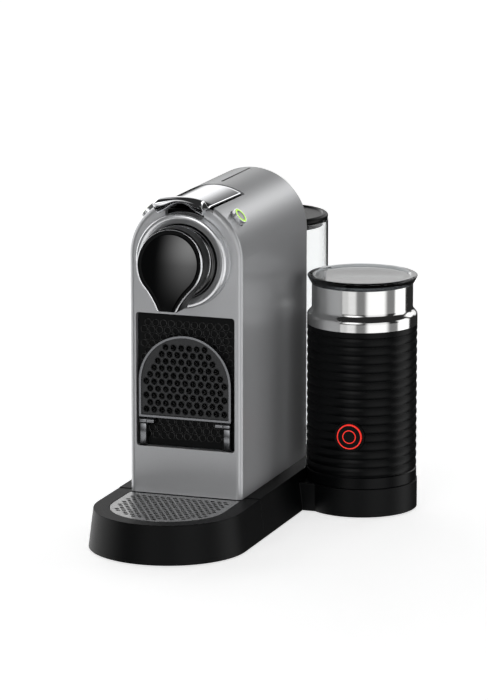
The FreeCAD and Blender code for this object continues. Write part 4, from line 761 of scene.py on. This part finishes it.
@dataclass(frozen=True)
class CupButton:
    """A cup-size button: silver rim and stem, and a dark face inside the light ring."""

    side: Side
    body: str
    node: str
    ring_node: str
    arch_z: float = 229.9
    y: float = 22.0
    angle_deg: float = 40.0
    top: float = 52.4
    foot: float = 40.2
    radius: float = 7.0
    light: float = 6.15
    light_width: float = 1.5

    def build(self) -> None:
        """Turns stem, light ring and face about the button's own axis; heights run from the arch's middle."""
        angle = math.radians(self.angle_deg)
        centre = (0.0, self.y, self.arch_z)
        axis = (self.side.value * math.cos(angle), 0.0, math.sin(angle))
        top, rim, neck = self.top, self.light + 0.06, self.radius - 0.35
        stem = eased([(0.0, top - 1.5), (rim, top - 1.5), (rim, top), (self.radius, top),
                      (self.radius, top - 3.2), (neck, top - 3.5), (neck, self.foot), (0.0, self.foot)],
                     [0, 0.1, 0.25, 0.35, 0.15, 0.15, 0.3, 0])
        lay(f"{self.body}_stem", [turned(stem, centre, axis, 72)], PALE_SILVER, self.body,
            (self.node,))
        inner, seat, crown = self.light - self.light_width, top - 1.4, top + 0.2
        ring = eased([(inner, seat), (self.light, seat), (self.light, crown), (inner, crown)],
                     [0.1, 0.1, 0.3, 0.3], True)
        lay(f"{self.body}_ring", [turned(ring, centre, axis, 72, True)], GREEN_LIGHT, self.body,
            (self.ring_node,))
        disc = inner - 0.04
        face = eased([(0.0, top - 0.35), (disc * 0.8, top - 0.2), (disc, top), (disc, seat), (0.0, seat)],
                     [0, 1.0, 0.3, 0.1, 0])
        lay(f"{self.body}_face", [turned(face, centre, axis, 72)], GLOSS_BLACK, self.body)


@dataclass(frozen=True)
class CapsuleDrawer:
    """Details of the drawer's front and the fold-up cup support: rims round the cells, and plated posts."""

    pitch: float = 6.7
    rim: float = 2.78
    bead: float = 0.34
    front_y: float = 4.4
    middle_z: float = 127.9
    half: tuple[float, float] = (38.7, 51.5)
    cup_y: float = 0.1
    cup_z: float = 126.5
    cup_reach: float = 34.05
    cup_drop: float = 24.15
    post: tuple[float, float] = (33.0, 39.0)
    post_low: float = 73.2
    hinge_y: float = 0.7
    hinge_z: float = 93.5
    hinge_radius: float = 3.0
    reach: int = 24
    rim_sides: int = 4
    rim_steps: int = 14

    def lattice(self) -> tuple[np.ndarray, np.ndarray]:
        """Places of a honeycomb: columns a pitch apart, every other row moved by half a pitch."""
        places = np.arange(-self.reach, self.reach + 1)
        row, column = np.meshgrid(places, places, indexing="ij")
        return (column + row % 2 / 2) * self.pitch, row * self.pitch * math.sqrt(0.75)

    def rims(self, u: np.ndarray, v: np.ndarray, y: float, z: float) -> list[Patch]:
        """One slim four-sided ring round each cell, half sunk into the plate's front."""
        w = np.linspace(0, 2 * np.pi, self.rim_sides, endpoint=False)
        section = np.stack([self.rim + self.bead * np.cos(w), self.bead * 0.8 * np.sin(w)], -1)
        ring = turned(section, (0, y, z), FRONT, self.rim_steps, True)
        return [Patch(ring.points + (x, 0.0, up), True, True) for x, up in zip(u, v)]

    def build(self) -> None:
        """Builds the rims of both plates and the two posts."""
        u, v = self.lattice()
        keep = (np.abs(u) < self.half[0]) & (np.abs(v) < self.half[1])
        cells = self.rims(u[keep], v[keep], self.front_y, self.middle_z)
        lay("drawer_cell_rims", cells, GLOSS_BLACK, "drawer")
        keep = (np.where(v > 0, np.hypot(u, v), np.abs(u)) < self.cup_reach) & (v > -self.cup_drop)
        holes = self.rims(u[keep], v[keep], self.cup_y, self.cup_z)
        lay("cup_support_hole_rims", holes, SATIN_BLACK, "cup_flap")
        low, high = self.post
        front = self.hinge_y - self.hinge_radius * 0.7 - 0.05
        rear, outer, pin = self.front_y - 0.05, high + 0.05, self.hinge_radius + 0.05
        plan = eased([(low - 0.02, rear), (low - 0.02, front), (outer, front), (outer, rear)],
                     [0.2, 0.9, 0.9, 0.2], True)
        eye = eased([(0.0, low + 0.05), (pin, low + 0.05), (pin, outer), (0.0, outer)], [0, 0.4, 0.6, 0])
        shapes = [drawn(plan, (self.post_low + 0.1, self.hinge_z), Along.Z),
                  turned(eye, (0.0, self.hinge_y, self.hinge_z), RIGHT, 40)]
        sleeves = [Patch(shape.points * np.array((side.value, 1.0, 1.0)), loop_columns=True)
                   for shape in shapes for side in (Side.RIGHT, Side.LEFT)]
        lay("hinge_post_sleeves", sleeves, DARK_NICKEL, "drawer")


@dataclass(frozen=True)
class WaterTank:
    """The clear tank and its black lid: a rounded rim round a shallow dish, and a plug that hangs inside."""

    place: tuple[float, float, float] = (0.0, 223.0, 0.0)
    radius: float = 45.0
    wall: float = 2.2
    floor: float = 2.5
    port: float = 6.8
    low_z: float = 33.9
    top_z: float = 224.0
    rim_z: float = 224.3
    lid_z: float = 229.5
    dish: float = 40.4
    dish_deep: float = 1.2
    plug: float = 41.0
    plug_wall: float = 2.0
    plug_z: float = 219.3

    def build(self) -> None:
        """Turns the tank and the lid about the tank's upright axis; heights run up from the worktop."""
        inner, low, floor = self.radius - self.wall, self.low_z, self.low_z + self.floor
        shell = eased([(self.port, low), (self.radius, low), (self.radius, self.top_z), (inner, self.top_z),
                       (inner, floor), (self.port, floor)], [0.3, 3.0, 0.5, 0.5, 2.0, 0.3], True)
        lay("tank_shell", [turned(shell, self.place, UP, 128, True)], CLEAR, "tank",
            ("water_tank",), Edge.CRISP)
        deck, inside, skirt = self.lid_z - self.dish_deep, self.plug - self.plug_wall, self.rim_z + 1.0
        lid = eased([(0.0, deck), (self.dish - 0.8, deck), (self.dish, self.lid_z - 0.1),
                     (self.radius - 1.8, self.lid_z), (self.radius, self.lid_z - 1.6),
                     (self.radius - 0.2, skirt), (self.radius - 1.4, self.rim_z), (self.plug, self.rim_z),
                     (self.plug, self.plug_z), (inside, self.plug_z), (inside, skirt), (0.0, skirt)],
                    [0, 0.3, 0.4, 1.1, 1.1, 0.8, 0.5, 0.2, 0.4, 0.4, 0.4, 0])
        lay("tank_cap_lid", [turned(lid, self.place, UP, 128)], SILK_BLACK, "tank_cap",
            ("tank_lid",), Edge.CRISP)


@dataclass(frozen=True)
class Frother:
    """The milk frother's polished collar, its smoky lid and the light rings of its start button."""

    place: tuple[float, float] = (104.3, 141.8)
    turn_deg: float = 5.0
    radius: float = 45.8
    neck: float = 42.0
    wall: float = 1.4
    low_z: float = 157.0
    shoulder_z: float = 163.6
    neck_z: float = 171.4
    top_z: float = 190.0
    lid_z: float = 198.0
    lid_low: float = 191.05
    lid_foot: float = 43.0
    dish: float = 40.2
    dish_deep: float = 1.5
    skirt: float = 37.0
    skirt_wall: float = 2.0
    skirt_z: float = 181.0
    press_z: float = 69.5
    press_front: float = 46.45
    inner_ring: float = 5.3
    wire: float = 0.42
    collar_count: int = 60

    def collar(self) -> Patch:
        """Collar turned about the upright axis: its radius falls from shoulder to neck by a smooth step."""
        z = np.linspace(self.low_z, self.top_z, self.collar_count)
        fall = smooth_step((z - self.shoulder_z) / (self.neck_z - self.shoulder_z))
        r = self.radius + (self.neck - self.radius) * fall
        skin = np.concatenate([np.stack([r, z], -1), np.stack([r - self.wall, z], -1)[::-1]])
        return turned(skin, (*self.place, 0.0), UP, 144, True)

    def lid(self) -> Patch:
        """Lid turned about the same axis: a shallow dish in a rim that leans in to its foot, and a skirt."""
        deck, inside, foot = self.lid_z - self.dish_deep, self.skirt - self.skirt_wall, self.lid_foot
        under = deck - self.skirt_wall
        profile = eased([(0.0, deck), (self.dish - 0.8, deck), (self.dish, self.lid_z - 0.2),
                         (self.radius - 1.2, self.lid_z), (self.radius, self.lid_z - 1.0),
                         (foot, self.lid_low + 0.6), (foot - 1.0, self.lid_low), (self.skirt, self.lid_low),
                         (self.skirt, self.skirt_z), (inside, self.skirt_z), (inside, under), (0.0, under)],
                        [0, 0.4, 0.5, 0.7, 0.6, 0.5, 0.3, 0.4, 0.4, 0.4, 0.6, 0])
        return turned(profile, (*self.place, 0.0), UP, 144)

    def build(self) -> None:
        """Builds the collar, the lid and the button's inner light ring."""
        lay("collar", [self.collar()], STEEL, "frother", ("frother_collar",), Edge.CRISP)
        lay("frother_cap_lid", [self.lid()], SMOKE, "frother_cap", ("frother_lid",),
            Edge.CRISP)
        turn = math.radians(self.turn_deg)
        w = np.linspace(0, 2 * np.pi, 8, endpoint=False)
        wire = np.stack([self.inner_ring + self.wire * np.cos(w),
                         self.press_front + self.wire * 0.5 * np.sin(w)], -1)
        ring = turned(wire, (*self.place, self.press_z), (math.sin(turn), -math.cos(turn), 0.0), 48, True)
        lay("start_button_inner_ring", [ring], RED_LIGHT, "start_button")


@dataclass(frozen=True)
class Softbox:
    """One soft light panel of the studio's surround, by where it stands as seen from the machine."""

    azimuth_deg: float
    half_width_deg: float
    elevation_deg: float
    half_height_deg: float
    soft_deg: float
    strength: float

    def glow(self, tree: bpy.types.NodeTree, azimuth: bpy.types.NodeSocket,
             elevation: bpy.types.NodeSocket) -> bpy.types.NodeSocket:
        """Light that comes from a direction: full inside the panel, fading over soft_deg at its edges.

        Args:
            tree: the world's node tree.
            azimuth: the direction's azimuth in radians.
            elevation: its elevation in radians.

        Returns:
            The socket that gives the light.
        """
        fades = []
        for angle, middle, half in ((azimuth, self.azimuth_deg, self.half_width_deg),
                                    (elevation, self.elevation_deg, self.half_height_deg)):
            away = angle
            for operation, values in (("SUBTRACT", {1: math.radians(middle)}),
                                      ("WRAP", {1: math.pi, 2: -math.pi}), ("ABSOLUTE", {})):
                away = add(tree, "ShaderNodeMath", {0: away, **values}, operation=operation).outputs[0]
            fades.append(add(tree, "ShaderNodeMapRange",
                             {"Value": away, "From Min": math.radians(half + self.soft_deg / 2),
                              "From Max": math.radians(half - self.soft_deg / 2),
                              "To Min": 0.0, "To Max": 1.0},
                             interpolation_type="SMOOTHSTEP").outputs["Result"])
        both = add(tree, "ShaderNodeMath", {0: fades[0], 1: fades[1]}, operation="MULTIPLY").outputs[0]
        return add(tree, "ShaderNodeMath", {0: both, 1: self.strength}, operation="MULTIPLY").outputs[0]


@dataclass(frozen=True)
class Studio:
    """Pale floor, soft lights and the camera at the photograph's angle."""

    azimuth_deg: float = 19.45
    elevation_deg: float = 12.14
    distance_mm: float = 3487.0
    target_mm: tuple[float, float, float] = (21.35, 82.3, 139.3)
    focal_px: float = 4235.0
    image_px: float = 700.0
    sensor_mm: float = 36.0
    clip_m: float = 20.0
    floor_half_m: float = 6.0
    dim: float = 0.03
    panels: tuple[Softbox, ...] = (
        Softbox(-13.5, 17.5, -27.0, 18.0, 8.0, 0.95),
        Softbox(-4.0, 14.0, 21.0, 14.0, 28.0, 3.4),
        Softbox(50.0, 23.0, -6.0, 34.0, 12.0, 1.25),
        Softbox(115.0, 17.0, -6.0, 34.0, 8.0, 1.6),
        Softbox(60.0, 74.0, -22.0, 13.0, 6.0, 0.3),
        Softbox(158.0, 14.0, 30.0, 13.0, 12.0, 2.0),
        Softbox(200.0, 38.0, 11.5, 8.0, 8.0, 1.2),
        Softbox(-108.0, 42.0, -2.0, 36.0, 14.0, 1.6),
    )

    def direction(self, azimuth_deg: float, elevation_deg: float) -> Vector:
        """Unit vector from the machine towards an azimuth, from the front to the right, and an elevation."""
        azimuth, elevation = math.radians(azimuth_deg), math.radians(elevation_deg)
        return Vector((math.sin(azimuth) * math.cos(elevation), -math.cos(azimuth) * math.cos(elevation),
                       math.sin(elevation)))

    def target(self) -> Vector:
        """The point that the camera looks at, in metres in the row."""
        return Vector(((np.array(self.target_mm) + ROW) * MM).tolist())

    def camera(self) -> None:
        """Sets up the camera."""
        lens = bpy.data.cameras.new("camera")
        lens.sensor_width = self.sensor_mm
        lens.lens = self.focal_px * self.sensor_mm / self.image_px
        lens.clip_end = self.clip_m
        body = bpy.data.objects.new("camera", lens)
        towards = self.direction(self.azimuth_deg, self.elevation_deg)
        body.location = self.target() + towards * (self.distance_mm * MM)
        body.rotation_euler = towards.to_track_quat("Z", "Y").to_euler()
        bpy.context.scene.collection.objects.link(body)
        bpy.context.scene.camera = body

    def floor(self) -> None:
        """Lays the pale floor."""
        half = self.floor_half_m
        corners = [(-half, -half, 0), (half, -half, 0), (half, half, 0), (-half, half, 0)]
        mesh = bpy.data.meshes.new("floor")
        mesh.from_pydata(corners, [], [(0, 1, 2, 3)])
        mesh.materials.append(FLOOR_PAINT.material())
        body = bpy.data.objects.new("floor", mesh)
        body.visible_glossy = False
        body.visible_diffuse = False
        bpy.context.scene.collection.objects.link(body)

    def surround(self) -> None:
        """Sets up the soft light: a dim room with panels, laid out by azimuth and elevation."""
        world = bpy.data.worlds.new("studio")
        world.use_nodes = True
        tree = world.node_tree
        towards = add(tree, "ShaderNodeTexCoord").outputs["Generated"]
        split = add(tree, "ShaderNodeSeparateXYZ", {"Vector": towards}).outputs
        front = add(tree, "ShaderNodeMath", {0: split["Y"], 1: -1.0}, operation="MULTIPLY").outputs[0]
        azimuth = add(tree, "ShaderNodeMath", {0: split["X"], 1: front}, operation="ARCTAN2").outputs[0]
        elevation = add(tree, "ShaderNodeMath", {0: split["Z"]}, operation="ARCSINE").outputs[0]
        light = self.dim
        for panel in self.panels:
            light = add(tree, "ShaderNodeMath", {0: light, 1: panel.glow(tree, azimuth, elevation)},
                        operation="ADD").outputs[0]
        tree.links.new(light, tree.nodes["Background"].inputs["Strength"])
        tree.nodes["Background"].inputs["Color"].default_value = (1.0, 1.0, 1.0, 1.0)
        bpy.context.scene.world = world

    def build(self) -> None:
        """Sets up the camera, the floor and the lights."""
        self.camera()
        self.floor()
        self.surround()
        bpy.context.scene.view_settings.view_transform = "Standard"


def main() -> None:
    """Dresses the nodes, builds the pieces in order and sets up the studio."""
    logging.basicConfig(level=logging.INFO, format="%(name)s: %(message)s")
    dress_nodes()
    Lever().build()
    Ridge().build()
    BrewHead().build()
    Spout().build()
    CupButton(Side.LEFT, "left_button", "espresso_button", "espresso_light").build()
    CupButton(Side.RIGHT, "right_button", "lungo_button", "lungo_light").build()
    CapsuleDrawer().build()
    WaterTank().build()
    Frother().build()
    Studio().build()


if __name__ == "__main__":
    main()
